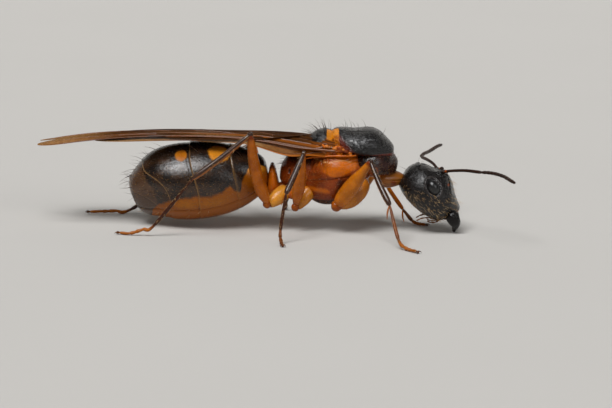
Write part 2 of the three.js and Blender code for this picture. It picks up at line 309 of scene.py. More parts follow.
FINISHES = {
    # The head's grey rim colour is a painted highlight round the eyes; the clypeus's front edge is pale in
    # the same grey.
    "head": shell_finish(
        "sculptured_black_shell", (0.0055, 0.0042, 0.0038), RUST, COAL, rim=(0.10, 0.08, 0.075), gloss=0.17,
        grain=0.009, cell=12.0, speckle=0.020, shine=0.05, coat=0.75),
    # The gaster's shade colour is a brown: painted reflection of the floor on the lower flanks, and at the
    # rear partly its own colour and partly painted sheen of its hairs. Its deep colour, a darker amber, is
    # painted shade on the belly and the smaller spot's own duller colour.
    "gaster": shell_finish(
        "gaster_shell", INK, (0.66, 0.24, 0.016), (0.064, 0.028, 0.011), rim=(0.42, 0.21, 0.055), gloss=0.15,
        speckle=0.013, flesh=0.05, shine=0.05, coat=0.9, deep=(0.30, 0.080, 0.0025), soft=0.2),
    "scutum": shell_finish(
        "scutum_shell", INK, (0.72, 0.24, 0.008), COAL, rim=(0.17, 0.016, 0.002), gloss=0.18, grain=0.014,
        cell=12.0, speckle=0.016, shine=0.06, coat=0.95),
    "collar": shell_finish(
        "collar_shell", INK, (0.26, 0.05, 0.004), (0.05, 0.008, 0.003), gloss=0.2, speckle=0.016, shine=0.5,
        soft=0.25),
    "jaw": shell_finish(
        "jaw_shell", (0.005, 0.0036, 0.0032), (0.05, 0.006, 0.002), COAL, gloss=0.2, grain=0.003,
        speckle=0.012, shine=0.24),
    # The amber shell's deep colour is used only on the neck, as painted shade.
    "amber": shell_finish(
        "amber_shell", (0.50, 0.165, 0.010), HONEY, (0.16, 0.030, 0.003), gloss=0.17, grain=0.002,
        speckle=0.003, flesh=0.08, shine=0.32, deep=(0.17, 0.05, 0.006), soft=0.3),
    # The rust shell's pale gold rim colour is a painted highlight on the upper side of the thorax; some hinge
    # plates take it too.
    "rust": shell_finish(
        "rust_shell", RUST, (0.60, 0.135, 0.003), BARK, rim=(0.62, 0.34, 0.11), gloss=0.16, speckle=0.011,
        flesh=0.05, shine=0.24, soft=0.3),
    "femur": shell_finish(
        "femur_shell", (0.48, 0.125, 0.004), (0.60, 0.19, 0.008), (0.15, 0.022, 0.002), gloss=0.22,
        grain=0.002, speckle=0.003, flesh=0.08, soft=0.3),
    "shin": shell_finish(
        "shin_shell", (0.045, 0.018, 0.009), (0.36, 0.10, 0.006), (0.018, 0.007, 0.004), gloss=0.2,
        grain=0.0006, speckle=0.001, shine=0.42, wave=0.004),
    "foot": shell_finish(
        "foot_shell", (0.17, 0.044, 0.004), (0.36, 0.10, 0.006), (0.040, 0.011, 0.005), gloss=0.24,
        speckle=0.002, shine=0.22, wave=0.004),
    "palp": shell_finish(
        "palp_shell", (0.20, 0.060, 0.010), (0.46, 0.12, 0.006), (0.040, 0.011, 0.005), gloss=0.24,
        speckle=0.002),
    "feeler": shell_finish(
        "feeler_shell", (0.026, 0.009, 0.004), (0.32, 0.06, 0.005), (0.012, 0.005, 0.003), gloss=0.3),
    "vein": shell_finish(
        "wing_vein", (0.15, 0.042, 0.006), (0.42, 0.10, 0.008), (0.05, 0.014, 0.004), gloss=0.16,
        grain=0.001, speckle=0.002, shine=0.42, wave=0.004),
    "eye": eye_finish(),
    "wing": wing_finish(),
    "down": hair_finish("golden_down", (0.40, 0.18, 0.03), (0.60, 0.34, 0.09)),
    "grey_down": hair_finish("brown_down", (0.012, 0.008, 0.006), (0.055, 0.038, 0.026)),
    "bristle": hair_finish("brown_bristle", (0.035, 0.014, 0.007), (0.10, 0.042, 0.018)),
    "gold_bristle": hair_finish("golden_bristle", (0.40, 0.19, 0.045), (0.72, 0.48, 0.22)),
}

# ------------------------------------------------------------------ meshes

FEWER = 1.0


def object_from(name, mesh):
    piece = bpy.data.objects.new(name, mesh)
    bpy.context.scene.collection.objects.link(piece)
    return piece


def settle(piece, finish, slot, *replaced):
    """Gives a finished piece its finish and its body, and hides the solids that it replaces."""
    if finish:
        piece.data.materials.clear()
        piece.data.materials.append(FINISHES[finish])
    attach(piece, "root")
    if replaced:
        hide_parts(*replaced)
    return piece


def skinned(name, rings, marks=None, lie=None):
    """A closed mesh over rings of points (rows, around, 3). A last ring drawn in to a point is a
    pole, and a wide one gets a flat end. 'marks' are float layers and 'lie' the way hair grows."""
    rings = np.asarray(rings, float)
    marks = dict(marks or {})
    layers = [np.broadcast_to(v, rings.shape[:2]) for v in marks.values()]
    if lie is None:
        lie = (-1.0, 0.0, -0.1)
    lie = np.broadcast_to(np.asarray(lie, float), rings.shape)
    ends = []
    for index in (0, -1):
        middle = rings[index].mean(0)
        pointed = np.ptp(rings[index], axis=0).max() < 1e-5
        ends.append((middle, pointed))
    first = 1 if ends[0][1] else 0
    last = rings.shape[0] - (1 if ends[1][1] else 0)
    body = rings[first:last]
    rows, around = body.shape[:2]
    points = np.concatenate([body.reshape(-1, 3), [ends[0][0], ends[1][0]]])
    row = np.arange(rows - 1)[:, None] * around
    here = np.arange(around)[None, :]
    there = (here + 1) % around
    quads = np.stack([row + here, row + around + here, row + around + there, row + there], -1).reshape(-1, 4)
    low, high = rows * around, rows * around + 1
    top = (rows - 1) * around
    j = np.arange(around)
    fans = np.concatenate([
        np.stack([np.full(around, low), j, (j + 1) % around], -1),
        np.stack([np.full(around, high), top + (j + 1) % around, top + j], -1),
    ])
    steps = rings.shape[0] - 1
    v_low = (np.arange(rows - 1) + first) / steps
    u = np.arange(around) / around
    uv_quads = np.zeros((rows - 1, around, 4, 2))
    uv_quads[..., 0, :] = np.stack(np.broadcast_arrays(u[None, :], v_low[:, None]), -1)
    uv_quads[..., 1, :] = np.stack(np.broadcast_arrays(u[None, :], v_low[:, None] + 1 / steps), -1)
    uv_quads[..., 2, :] = uv_quads[..., 1, :] + (1 / around, 0)
    uv_quads[..., 3, :] = uv_quads[..., 0, :] + (1 / around, 0)
    mid = u + 0.5 / around
    v_first, v_last = first / steps, (last - 1) / steps
    uv_fans = np.concatenate([
        np.stack([np.stack([mid, mid * 0], -1), np.stack([u, u * 0 + v_first], -1),
                  np.stack([u + 1 / around, u * 0 + v_first], -1)], 1),
        np.stack([np.stack([mid, mid * 0 + 1], -1), np.stack([u + 1 / around, u * 0 + v_last], -1),
                  np.stack([u, u * 0 + v_last], -1)], 1),
    ])
    a, b, c = (points[fans[:, k]] for k in range(3))
    volume = np.einsum("ij,ij->", a, np.cross(b, c))
    for tri in ((0, 1, 2), (0, 2, 3)):
        a, b, c = (points[quads[:, k]] for k in tri)
        volume += np.einsum("ij,ij->", a, np.cross(b, c))
    if volume < 0:
        quads, fans = quads[:, ::-1], fans[:, ::-1]
        uv_quads, uv_fans = uv_quads[:, :, ::-1], uv_fans[:, ::-1]
    mesh = bpy.data.meshes.new(name)
    mesh.from_pydata(to_frame(points).tolist(), [], quads.tolist() + fans.tolist())
    mesh.polygons.foreach_set("use_smooth", np.ones(len(mesh.polygons), bool))
    layer = mesh.uv_layers.new(name="skin_map")
    layer.data.foreach_set("uv", np.concatenate([uv_quads.ravel(), uv_fans.ravel()]).astype(np.float32))

    def with_ends(values):
        flat = values[first:last].reshape(rows * around, -1)
        return np.concatenate([flat, [values[0].mean(0).ravel()], [values[-1].mean(0).ravel()]])

    for key, values in zip(marks, layers):
        attribute = mesh.attributes.new(key, "FLOAT", "POINT")
        attribute.data.foreach_set("value", with_ends(values[..., None]).ravel().astype(np.float32))
    attribute = mesh.attributes.new("lie", "FLOAT_VECTOR", "POINT")
    attribute.data.foreach_set("vector", with_ends(lie).ravel().astype(np.float32))
    return object_from(name, mesh)


class Shell:
    """A plate laid round a spine in the ant's upright plane, as the solids are. 'up', 'down' and
    'half' are its heights above and below the spine and its half width, at equal steps along it."""

    def __init__(self, spine, up, down, half, square=1.0, blunt=0.5, start=0.0, stop=1.0, rows=70, around=96,
                 aside=0.0, side=1):
        rows, around = int(rows * FEWER), int(around * FEWER)
        self.angle = np.broadcast_to(np.arange(around)[None, :] * 2 * np.pi / around, (rows, around))
        self.t = np.broadcast_to(np.linspace(0, 1, rows)[:, None], (rows, around))
        begin = np.arccos(1 - 2 * np.clip(start + 0 * self.angle, 0, 1))
        end = np.arccos(1 - 2 * np.clip(stop + 0 * self.angle, 0, 1))
        turn = begin + self.t * (end - begin)
        self.u = (1 - np.cos(turn)) / 2
        full = np.where((turn < 1e-6) | (turn > np.pi - 1e-6), 0, np.maximum(np.sin(turn), 0) ** blunt)
        rise, across = np.cos(self.angle), np.sin(self.angle)
        at = smooth(spine, self.u, extend=True)
        ahead = smooth(spine, self.u + 0.004, extend=True)
        heading = unit(ahead - smooth(spine, self.u - 0.004, extend=True))
        reach = np.where(rise > 0, smooth(up, self.u), smooth(down, self.u))
        height = full * reach * np.sign(rise) * np.abs(rise) ** square
        width = full * smooth(half, self.u) * np.sign(across) * np.abs(across) ** square
        self.rings = np.stack([
            at[..., 0] - heading[..., 1] * height,
            side * (aside + width),
            at[..., 1] + heading[..., 0] * height,
        ], -1)
        self.middle = np.stack([at[..., 0], 0 * height + side * aside, at[..., 1]], -1)
        self.degrees = np.degrees(np.abs(np.where(self.angle > np.pi, self.angle - 2 * np.pi, self.angle)))

    def outward(self):
        along = np.gradient(self.rings, axis=0)
        across = np.roll(self.rings, -1, 1) - np.roll(self.rings, 1, 1)
        normal = unit(np.cross(along, across))
        flip = np.sign(np.einsum("ijk,ijk->", normal, self.rings - self.middle))
        return normal * flip

    def raise_by(self, offset):
        self.rings = self.rings + self.outward() * np.asarray(offset)[..., None]
        return self

    @property
    def xyz(self):
        return np.moveaxis(self.rings, -1, 0)

    def at(self, u, degrees):
        """The point and outward direction nearest to a place along and round the plate."""
        turn = np.radians(degrees) % (2 * np.pi)
        row = np.abs(self.u[:, 0] - u).argmin()
        column = int(round(turn / (2 * np.pi) * self.u.shape[1])) % self.u.shape[1]
        return self.rings[row, column], self.outward()[row, column]

    def piece(self, name, finish, slot, *replaced, lie=None, **marks):
        return settle(skinned(name, self.rings, marks, lie), finish, slot, *replaced)


def tube(path, radii, rows=40, around=24, blunt=0.35, flat=1.0, guide=(0, 0, 1)):
    """Rings of a limb along a path, with its radii, closed at both ends, and flattened by 'flat'
    across the guide. Returns the rings, how far along each lies and the way the limb runs."""
    rows, around = max(int(rows * FEWER), 6), max(int(around * FEWER), 8)
    turn = np.linspace(0, np.pi, rows)
    u = (1 - np.cos(turn)) / 2
    if rows > 20:
        u = 0.5 * u + 0.5 * np.linspace(0, 1, rows)
    full = np.maximum(1 - (2 * u - 1) ** 10, 0) ** blunt
    path = np.asarray(path, float)
    fine = smooth(path, np.linspace(0, 1, 200), extend=True)
    run = np.concatenate([[0], np.cumsum(np.linalg.norm(np.diff(fine, axis=0), axis=1))])
    spot = np.interp(u * run[-1], run, np.linspace(0, 1, 200))
    at = smooth(path, spot, extend=True)
    ahead = smooth(path, np.minimum(spot + 0.01, 1), extend=True)
    heading = unit(ahead - smooth(path, np.maximum(spot - 0.01, 0), extend=True))
    sideways = unit(np.cross(heading, np.broadcast_to(guide, heading.shape)))
    upwards = np.cross(sideways, heading)
    radius = (radii(u) if callable(radii) else smooth(radii, u)) * full
    angle = np.arange(around) * 2 * np.pi / around
    rings = (at[:, None] + sideways[:, None] * (radius[:, None] * np.cos(angle))[..., None] * flat
             + upwards[:, None] * (radius[:, None] * np.sin(angle))[..., None])
    return rings, u, np.broadcast_to(heading[:, None], rings.shape)


def joined(name, parts):
    """Several pieces as one mesh, keeping their layers."""
    with bpy.context.temp_override(active_object=parts[0], selected_editable_objects=parts,
                                   selected_objects=parts, object=parts[0]):
        bpy.ops.object.join()
    parts[0].name = name
    parts[0].data.name = name
    return parts[0]


# ------------------------------------------------------------------ grown detail


class Grower:
    """Builds a Geometry Nodes tree with named inputs."""

    SOCKETS = {"float": "NodeSocketFloat", "int": "NodeSocketInt", "vector": "NodeSocketVector",
               "material": "NodeSocketMaterial", "geometry": "NodeSocketGeometry"}

    def __init__(self, name, **inputs):
        self.tree = bpy.data.node_groups.new(name, "GeometryNodeTree")
        self.tree.is_modifier = True
        self.ids = {}
        for label, kind in {"Geometry": "geometry", **inputs}.items():
            socket = self.tree.interface.new_socket(label, in_out="INPUT", socket_type=self.SOCKETS[kind])
            self.ids[label] = socket.identifier
        self.tree.interface.new_socket("Geometry", in_out="OUTPUT", socket_type="NodeSocketGeometry")
        self.source = self.tree.nodes.new("NodeGroupInput")
        self.sink = self.tree.nodes.new("NodeGroupOutput")

    def __getitem__(self, label):
        return self.source.outputs[label]

    def plug(self, socket, value):
        if isinstance(value, bpy.types.NodeSocket):
            self.tree.links.new(value, socket)
        else:
            socket.default_value = value

    def add(self, kind, *values, sockets=None, **settings):
        """A node with its first sockets given in order, and others by their name or number."""
        node = self.tree.nodes.new(kind)
        for key, value in settings.items():
            setattr(node, key, value)
        for key, value in {**dict(enumerate(values)), **(sockets or {})}.items():
            self.plug(node.inputs[key], value)
        return node

    def math(self, operation, a, b):
        return self.add("ShaderNodeMath", a, b, operation=operation).outputs[0]

    def vector(self, operation, *values, scale=None):
        sockets = {} if scale is None else {"Scale": scale}
        node = self.add("ShaderNodeVectorMath", *values, operation=operation, sockets=sockets)
        return node.outputs["Value" if operation == "DOT_PRODUCT" else "Vector"]

    def combine(self, x, y, z):
        return self.add("ShaderNodeCombineXYZ", x, y, z).outputs[0]

    def attribute(self, name, kind):
        node = self.add("GeometryNodeInputNamedAttribute", data_type=kind, sockets={"Name": name})
        return next(s for s in node.outputs if s.enabled)

    def store(self, geometry, name, value, **settings):
        """Keeps a value on the geometry as a named attribute."""
        return self.add("GeometryNodeStoreNamedAttribute", **settings,
                        sockets={"Geometry": geometry, "Name": name, "Value": value}).outputs[0]

    def chance(self, offset, low, high, kind="FLOAT"):
        """A random value for each hair. Float sockets come after the two vector ones."""
        first, out = (0, 0) if kind == "FLOAT_VECTOR" else (2, 1)
        node = self.add("FunctionNodeRandomValue", data_type=kind,
                        sockets={first: low, first + 1: high, "Seed": self.math("ADD", self["Seed"], offset)})
        return node.outputs[out]

    def finish(self, geometry):
        """Ends the tree: instances made real, smooth faces and the material set."""
        for kind in ("GeometryNodeRealizeInstances", "GeometryNodeSetShadeSmooth"):
            geometry = self.add(kind, geometry).outputs[0]
        painted = self.add("GeometryNodeSetMaterial", geometry, sockets={"Material": self["Material"]})
        self.plug(self.sink.inputs[0], painted.outputs[0])
        return self

    def grow(self, name, mesh, **values):
        """Runs the tree on a mesh and keeps the result as a plain mesh."""
        piece = object_from(name, mesh)
        modifier = piece.modifiers.new("grow", "NODES")
        modifier.node_group = self.tree
        for label, value in values.items():
            modifier[self.ids[label]] = value
        graph = bpy.context.evaluated_depsgraph_get()
        grown = bpy.data.meshes.new_from_object(piece.evaluated_get(graph), preserve_all_data_layers=True,
                                                depsgraph=graph)
        piece.modifiers.clear()
        piece.data = grown
        grown.name = name
        return piece


PATCH = 0.003  # how wide a hair's patch is on the bake's map


def hair_grower():
    """Hairs over a skin: denser where its 'coat' layer says, leaning along its 'lie' layer."""
    g = Grower("hairs", Density="float", Length="float", Slimness="float", Lean="float", Curl="float",
               Unevenness="float", Joints="int", Seed="int", Material="material")
    density = g.math("MULTIPLY", g["Density"], g.attribute("coat", "FLOAT"))
    roots = g.add("GeometryNodeDistributePointsOnFaces", distribute_method="RANDOM",
                  sockets={"Mesh": g["Geometry"], "Density": density, "Seed": g["Seed"]})
    planted = g.add("GeometryNodeCaptureAttribute", roots.outputs["Points"])
    planted.capture_items.new("VECTOR", "Outward")
    g.plug(planted.inputs["Outward"], roots.outputs["Normal"])

    # The way each hair points: along the skin by its lean, and a little astray.
    outward = planted.outputs["Outward"]
    lie = g.attribute("lie", "FLOAT_VECTOR")
    along = g.vector("SCALE", outward, scale=g.vector("DOT_PRODUCT", lie, outward))
    flat = g.vector("NORMALIZE", g.vector("SUBTRACT", lie, along))
    stray = g.vector("SCALE", g.chance(7, (-1, -1, -1), (1, 1, 1), "FLOAT_VECTOR"),
                     scale=g.math("MULTIPLY", g["Unevenness"], 0.6))
    leaning = g.vector("SCALE", flat, scale=g["Lean"])
    standing = g.vector("SCALE", outward, scale=g.math("SUBTRACT", 1.0, g["Lean"]))
    way = g.vector("NORMALIZE", g.vector("ADD", g.vector("ADD", leaning, standing), stray))
    up = g.add("FunctionNodeAlignRotationToVector", axis="Z", sockets={"Vector": way})
    turned = g.add("FunctionNodeAlignRotationToVector", axis="X", pivot_axis="Z",
                   sockets={"Rotation": up.outputs[0], "Vector": flat})

    # One hair of unit length: a slim three-sided cone, bent more towards its tip.
    hair = g.add("GeometryNodeMeshCone", fill_type="NGON", sockets={
        "Vertices": 3, "Side Segments": g["Joints"], "Radius Top": 0.0015, "Radius Bottom": g["Slimness"],
        "Depth": 1.0})
    place = g.add("ShaderNodeSeparateXYZ", g.add("GeometryNodeInputPosition").outputs[0])
    height = place.outputs["Z"]
    bend = g.math("MULTIPLY", g["Curl"], g.math("POWER", g.math("MAXIMUM", height, 0.0), 2.0))
    bent = g.add("GeometryNodeSetPosition", hair.outputs["Mesh"],
                 sockets={"Offset": g.combine(bend, 0.0, 0.0)})
    across = g.math("MULTIPLY", g.math("DIVIDE", place.outputs["Y"], g["Slimness"]), PATCH / 2)
    patch = g.combine(across, g.math("MULTIPLY", height, PATCH), 0.0)
    marked = g.store(bent.outputs[0], "patch", patch, data_type="FLOAT_VECTOR", domain="POINT")

    uneven = g.math("MULTIPLY", g["Unevenness"], g.chance(3, -1.0, 0.6))
    length = g.math("MULTIPLY", g["Length"], g.math("ADD", 1.0, uneven))
    coat = g.add("GeometryNodeInstanceOnPoints", planted.outputs["Geometry"], sockets={
        "Instance": marked, "Rotation": turned.outputs[0], "Scale": g.combine(length, length, length)})
    real = g.add("GeometryNodeRealizeInstances", coat.outputs[0])
    spot = g.vector("ADD", g.attribute("skin_map", "FLOAT_VECTOR"), g.attribute("patch", "FLOAT_VECTOR"))
    return g.finish(g.store(real.outputs[0], "OFBake", spot, data_type="FLOAT2", domain="CORNER"))


def facet_grower():
    """A compound eye: a ball of many small domed facets, drawn out to the eye's shape."""
    g = Grower("eye_facets", Fineness="int", Radii="vector", Turn="vector", Centre="vector", Dome="float",
               Material="material")
    ball = g.add("GeometryNodeMeshIcoSphere", sockets={"Radius": 1.0, "Subdivisions": g["Fineness"]})
    facets = g.add("GeometryNodeDualMesh", ball.outputs[0])
    domed = g.add("GeometryNodeExtrudeMesh", facets.outputs[0], mode="FACES",
                  sockets={"Offset Scale": g["Dome"], "Individual": True})
    shrunk = g.add("GeometryNodeScaleElements", domed.outputs["Mesh"], domain="FACE",
                   sockets={"Selection": domed.outputs["Top"], "Scale": 0.75})
    placed = g.add("GeometryNodeTransform", shrunk.outputs[0],
                   sockets={"Translation": g["Centre"], "Rotation": g["Turn"], "Scale": g["Radii"]})
    return g.finish(placed.outputs[0])


def vein_grower():
    """Round veins along the edges of a wire, as thick as its 'thickness' layer says."""
    g = Grower("veins", Sides="int", Material="material")
    lines = g.add("GeometryNodeMeshToCurve", g["Geometry"])
    thickness = g.attribute("thickness", "FLOAT")
    sized = g.add("GeometryNodeSetCurveRadius", lines.outputs[0], sockets={"Radius": thickness})
    ring = g.add("GeometryNodeCurvePrimitiveCircle", mode="RADIUS",
                 sockets={"Radius": 1.0, "Resolution": g["Sides"]})
    swept = g.add("GeometryNodeCurveToMesh", sized.outputs[0], ring.outputs[0], sockets={"Fill Caps": True})
    if "Scale" in swept.inputs:
        g.plug(swept.inputs["Scale"], thickness)
    return g.finish(swept.outputs[0])


HAIRS = hair_grower()
FACETS = facet_grower()
VEINS = vein_grower()
HAIR_SEEDS = itertools.count(24, 13)
QUICK_HAIRS = 1.0


def hairs(name, host, finish, per_mm2, length, width, lean, curl=0.25, uneven=0.35, joints=2,
          coat=None):
    """Grows hairs on a host piece. 'coat' changes where they grow: a function of the points."""
    mesh = host.data.copy()
    count = len(mesh.vertices)
    points = np.zeros(count * 3, np.float32)
    mesh.vertices.foreach_get("co", points)
    where = np.ones(count)
    if coat is not None:
        where = np.clip(coat(*to_drawing(points.reshape(-1, 3)).T), 0, 1) + np.zeros(count)
    layer = mesh.attributes.new("coat", "FLOAT", "POINT")
    layer.data.foreach_set("value", where.astype(np.float32))
    piece = HAIRS.grow(name, mesh, Density=per_mm2 / MM**2 * QUICK_HAIRS, Length=length * MM,
                       Slimness=width / length / 2, Lean=lean, Curl=curl, Unevenness=uneven, Joints=joints,
                       Seed=next(HAIR_SEEDS), Material=FINISHES[finish])
    for extra in ("lie", "coat", "patch", "glow", "shade", "rim", "skin_map"):
        if extra in piece.data.attributes:
            piece.data.attributes.remove(piece.data.attributes[extra])
    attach(piece, "root")
    return piece


# ------------------------------------------------------------------ reading the solids


def centre_line(node, start_near, fractions):
    """Points down the middle of a long CAD node, from the end nearest to a point, in drawing mm."""
    mesh = frame["nodes"][node].data
    corners = to_drawing([v.co for v in mesh.vertices])
    centre = corners.mean(0)
    axis = np.linalg.svd(corners - centre, full_matrices=False)[2][0]
    if (np.asarray(start_near) - centre) @ axis > 0:
        axis = -axis
    reach = (corners - centre) @ axis
    pairs = np.array([e.vertices[:] for e in mesh.edges])
    points = []
    for fraction in fractions:
        gap = reach - (reach.min() + fraction * np.ptp(reach))
        a, b = pairs[gap[pairs[:, 0]] * gap[pairs[:, 1]] < 0].T
        share = (gap[a] / (gap[a] - gap[b]))[:, None]
        points.append((corners[a] + share * (corners[b] - corners[a])).mean(0))
    return np.array(points)


def meeting(first, second):
    """The point where two straight middle lines pass closest to each other."""
    p, q = first[-1], second[0]
    d, e = unit(first[-1] - first[0]), unit(second[-1] - second[0])
    sides = np.array([[d @ d, -d @ e], [d @ e, -e @ e]])
    s, t = np.linalg.solve(sides, [(q - p) @ d, (q - p) @ e])
    return (p + s * d + q + t * e) / 2


# ------------------------------------------------------------------ head

HEAD = dict(spine=[[4.31, 2.4], [7.03, 1.05]], up=[1.25, 1.26, 1.17, 1.2, 0.72, 0.28],
            down=[0.5, 0.7, 0.84, 0.93, 0.95, 0.6], half=[1.0, 1.28, 1.36, 1.27, 1.08, 0.72], square=0.88)
EYE_RADII = np.array([0.4, 0.36, 0.3])
EYE_LEAN, EYE_TOE_IN = 1.1, 0.2


def eye_turn(side):
    """The eye's tilt: it leans forwards and its front turns in."""
    return Euler((0, EYE_LEAN, -EYE_TOE_IN * side))


def eye_centre():
    """The eye's middle, from its box. The solid is cut where it sinks into the head, so the
    outer and upper sides are the ones measured from."""
    low, high = (to_drawing(corner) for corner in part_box("eye_left"))
    reach = np.linalg.norm(np.array(eye_turn(1).to_matrix()) * EYE_RADII, axis=1)
    return np.array([(low[0] + high[0]) / 2, high[1] - reach[1], high[2] - reach[2]])


EYE_CENTRE = eye_centre()
SOCKET = np.array([6.24, 0.43, 2.86])
FACE = (0.8, 0.0, -0.6)  # the way the head's hair lies, towards the jaws


def eye_distance(points, side):
    """How many eye radii a point is from the eye's middle."""
    local = (points - on_side(EYE_CENTRE, side)) @ np.array(eye_turn(side).to_matrix())
    return np.linalg.norm(local / EYE_RADII, axis=-1)


def build_capsule():
    """The head's shell, with a raised ring round each eye and a painted highlight on that ring, a pit for
    each feeler, and cheeks.
    """
    head = Shell(**HEAD, rows=150, around=210)
    u, degrees = head.u, head.degrees
    lift = -0.014 * hump(0, 1.5, degrees) * ease(0.12, 0.2, u) * ease(0.58, 0.5, u)
    shade, pale = 0 * u, 0 * u
    for _, side in SIDES:
        eye = eye_distance(head.rings, side)
        lift = lift + 0.05 * hump(1.24, 0.11, eye) - 0.03 * hump(1.02, 0.06, eye)
        # The pale ring round each eye is a painted highlight, in the head's grey rim colour.
        pale = np.maximum(pale, 0.3 * hump(1.24, 0.13, eye))
        stand = np.linalg.norm(head.rings - on_side(SOCKET, side), axis=-1)
        lift += 0.05 * hump(0.25, 0.06, stand) - 0.09 * ease(0.2, 0.1, stand)
        shade = np.maximum(shade, ease(0.24, 0.14, stand))
    carina = 15 + 14 * ease(0.5, 0.3, u)
    lift += 0.06 * hump(carina, 2.4, degrees) * ease(0.27, 0.36, u) * ease(0.64, 0.58, u)
    cheek = 0.055 * hump(0.78, 0.1, u) * hump(80, 16, degrees)
    glow = edge(u, 0.955, 0.04) * ease(60, 90, degrees) * 0.6
    x, y, z = head.xyz
    glow = glow + 0.9 * hump(0, 0.08, np.hypot(x - 6.5, z - 2.32)) * ease(0.1, 0.3, np.abs(y))
    head.raise_by(lift + cheek)
    piece = head.piece("head_shell", "head", "black_shell", "head_capsule", lie=FACE, glow=glow, shade=shade,
                       rim=pale)
    return head, piece


def build_clypeus():
    """The shield over the jaws: a second skin on the head, wide below, with a keel."""
    shield = Shell(**HEAD, start=0.585, stop=0.988, rows=60, around=210)
    u, degrees = shield.u, shield.degrees
    wide = 15 + 30 * ease(0.585, 0.74, u)
    inside = ease(wide + 3, wide - 3, degrees) * ease(0.585, 0.61, u)
    keel = 0.03 * hump(0, 5, degrees) * ease(0.62, 0.7, u)
    shield.raise_by((0.135 - 0.05 * ease(0.7, 0.85, u)) * inside - 0.1 + keel)
    return shield.piece("clypeus", "head", "black_shell", "head_capsule", lie=FACE,
                        rim=0.5 * hump(0.975, 0.014, u))


def build_simple_eyes(head):
    """Three beads on the crown, at places along and round the head."""
    beads = []
    for u, degrees in ((0.2, 0), (0.125, 17), (0.125, -17)):
        at, outward = head.at(u, degrees)
        stub = [at - outward * 0.07, at + outward * 0.035]
        beads.append(skinned("bead", tube(stub, [0.1, 0.1], rows=14, around=20, blunt=0.5)[0]))
    settle(joined("ocelli", beads), "eye", "eye", "head_capsule")


def build_head():
    head, shell = build_capsule()
    clypeus = build_clypeus()
    build_simple_eyes(head)
    for name, side in SIDES:
        build_eye(name, side)
        build_jaw(name, side)
        build_palps(name, side)
        build_feeler(name, side)
    return shell, clypeus


def build_eye(name, side):
    eye = FACETS.grow("eye_" + name, bpy.data.meshes.new("seed"), Fineness=5,
                      Radii=Vector(EYE_RADII * MM), Turn=Vector(eye_turn(side)), Dome=0.0012,
                      Centre=Vector(to_frame(on_side(EYE_CENTRE, side))), Material=FINISHES["eye"])
    settle(eye, None, "eye", "eye_" + name)


JAW = [[6.5, 0.5, 1.06], [6.74, 0.62, 0.76], [6.88, 0.48, 0.42], [6.83, 0.16, 0.07]]
# Each tooth: how far down the jaw it stands, and its length.
TEETH = ((0.5, 0.08), (0.62, 0.09), (0.73, 0.09), (0.83, 0.08), (0.92, 0.07))


def build_jaw(name, side):
    rings, u, _ = tube(on_side(JAW, side), [0.17, 0.29, 0.26, 0.15, 0.05], rows=60, around=60, flat=0.78,
                       guide=(1, 0, 0.3))
    turn = np.arange(rings.shape[1]) * 2 * np.pi / rings.shape[1]
    core = rings.mean(1, keepdims=True)
    groove = (0.03 * ease(0.1, 0.3, u) * ease(0.95, 0.8, u))[:, None] * np.cos(9 * turn)
    rings = core + (rings - core) * (1 + groove[..., None])
    parts = [skinned("jaw", rings, {"glow": edge(u[:, None], 0.9, 0.1)}, FACE)]
    inward = unit(np.array([-0.35, -side * 0.75, -0.45]))
    for along, length in TEETH:
        ring = rings[int(along * (len(rings) - 1))]
        middle = ring.mean(0)
        reach = ((ring - middle) @ inward).max()
        base = middle + inward * reach * 0.7
        tip = middle + inward * (reach + length)
        tooth = tube([base, (base + tip) / 2, tip], [0.1, 0.06, 0.012], rows=12, around=12, blunt=0.3)[0]
        parts.append(skinned("tooth", tooth, {"glow": 0.4}, FACE))
    settle(joined("mandible_" + name, parts), "jaw", "black_shell", "mandible_" + name)


def segmented(breaks, slim, stout, taper=1.0):
    """Radii of a limb of several joints, each slim where it starts and stout where it ends."""
    breaks = np.asarray(breaks, float)

    def radii(u):
        index = np.clip(np.searchsorted(breaks, u, side="right") - 1, 0, len(breaks) - 2)
        part = (u - breaks[index]) / (breaks[index + 1] - breaks[index])
        swell = slim + (stout - slim) * ease(0, 0.8, part) - (stout - slim) * 0.9 * ease(0.93, 1, part)
        return swell * (1 + (taper - 1) * u)

    return radii


LONG_PALP = [[6.3, 0.3, 0.85], [6.0, 0.42, 0.66], [5.66, 0.46, 0.71], [5.34, 0.43, 0.68], [5.08, 0.4, 0.55]]
SHORT_PALP = [[6.3, 0.14, 0.78], [6.06, 0.2, 0.52], [5.8, 0.24, 0.46], [5.58, 0.22, 0.52]]
PALP_ROOT = [[6.05, 0.3, 1.05], [6.3, 0.3, 0.82], [6.5, 0.22, 0.66]]


def build_palps(name, side):
    """The small feelers under the mouth: a long one of six joints and a short one of four."""
    long_joints = segmented(np.linspace(0, 1, 7), 0.028, 0.047, 0.8)
    short_joints = segmented(np.linspace(0, 1, 5), 0.026, 0.042, 0.85)
    tubes = (
        tube(on_side(LONG_PALP, side), long_joints, rows=110, around=16),
        tube(on_side(SHORT_PALP, side), short_joints, rows=80, around=14),
        tube(on_side(PALP_ROOT, side), [0.22, 0.2, 0.1], rows=24, around=24, blunt=0.5),
    )
    parts = [skinned("palp", rings) for rings, _, _ in tubes]
    settle(joined("palps_" + name, parts), "palp", "amber_shell", "palp_" + name)


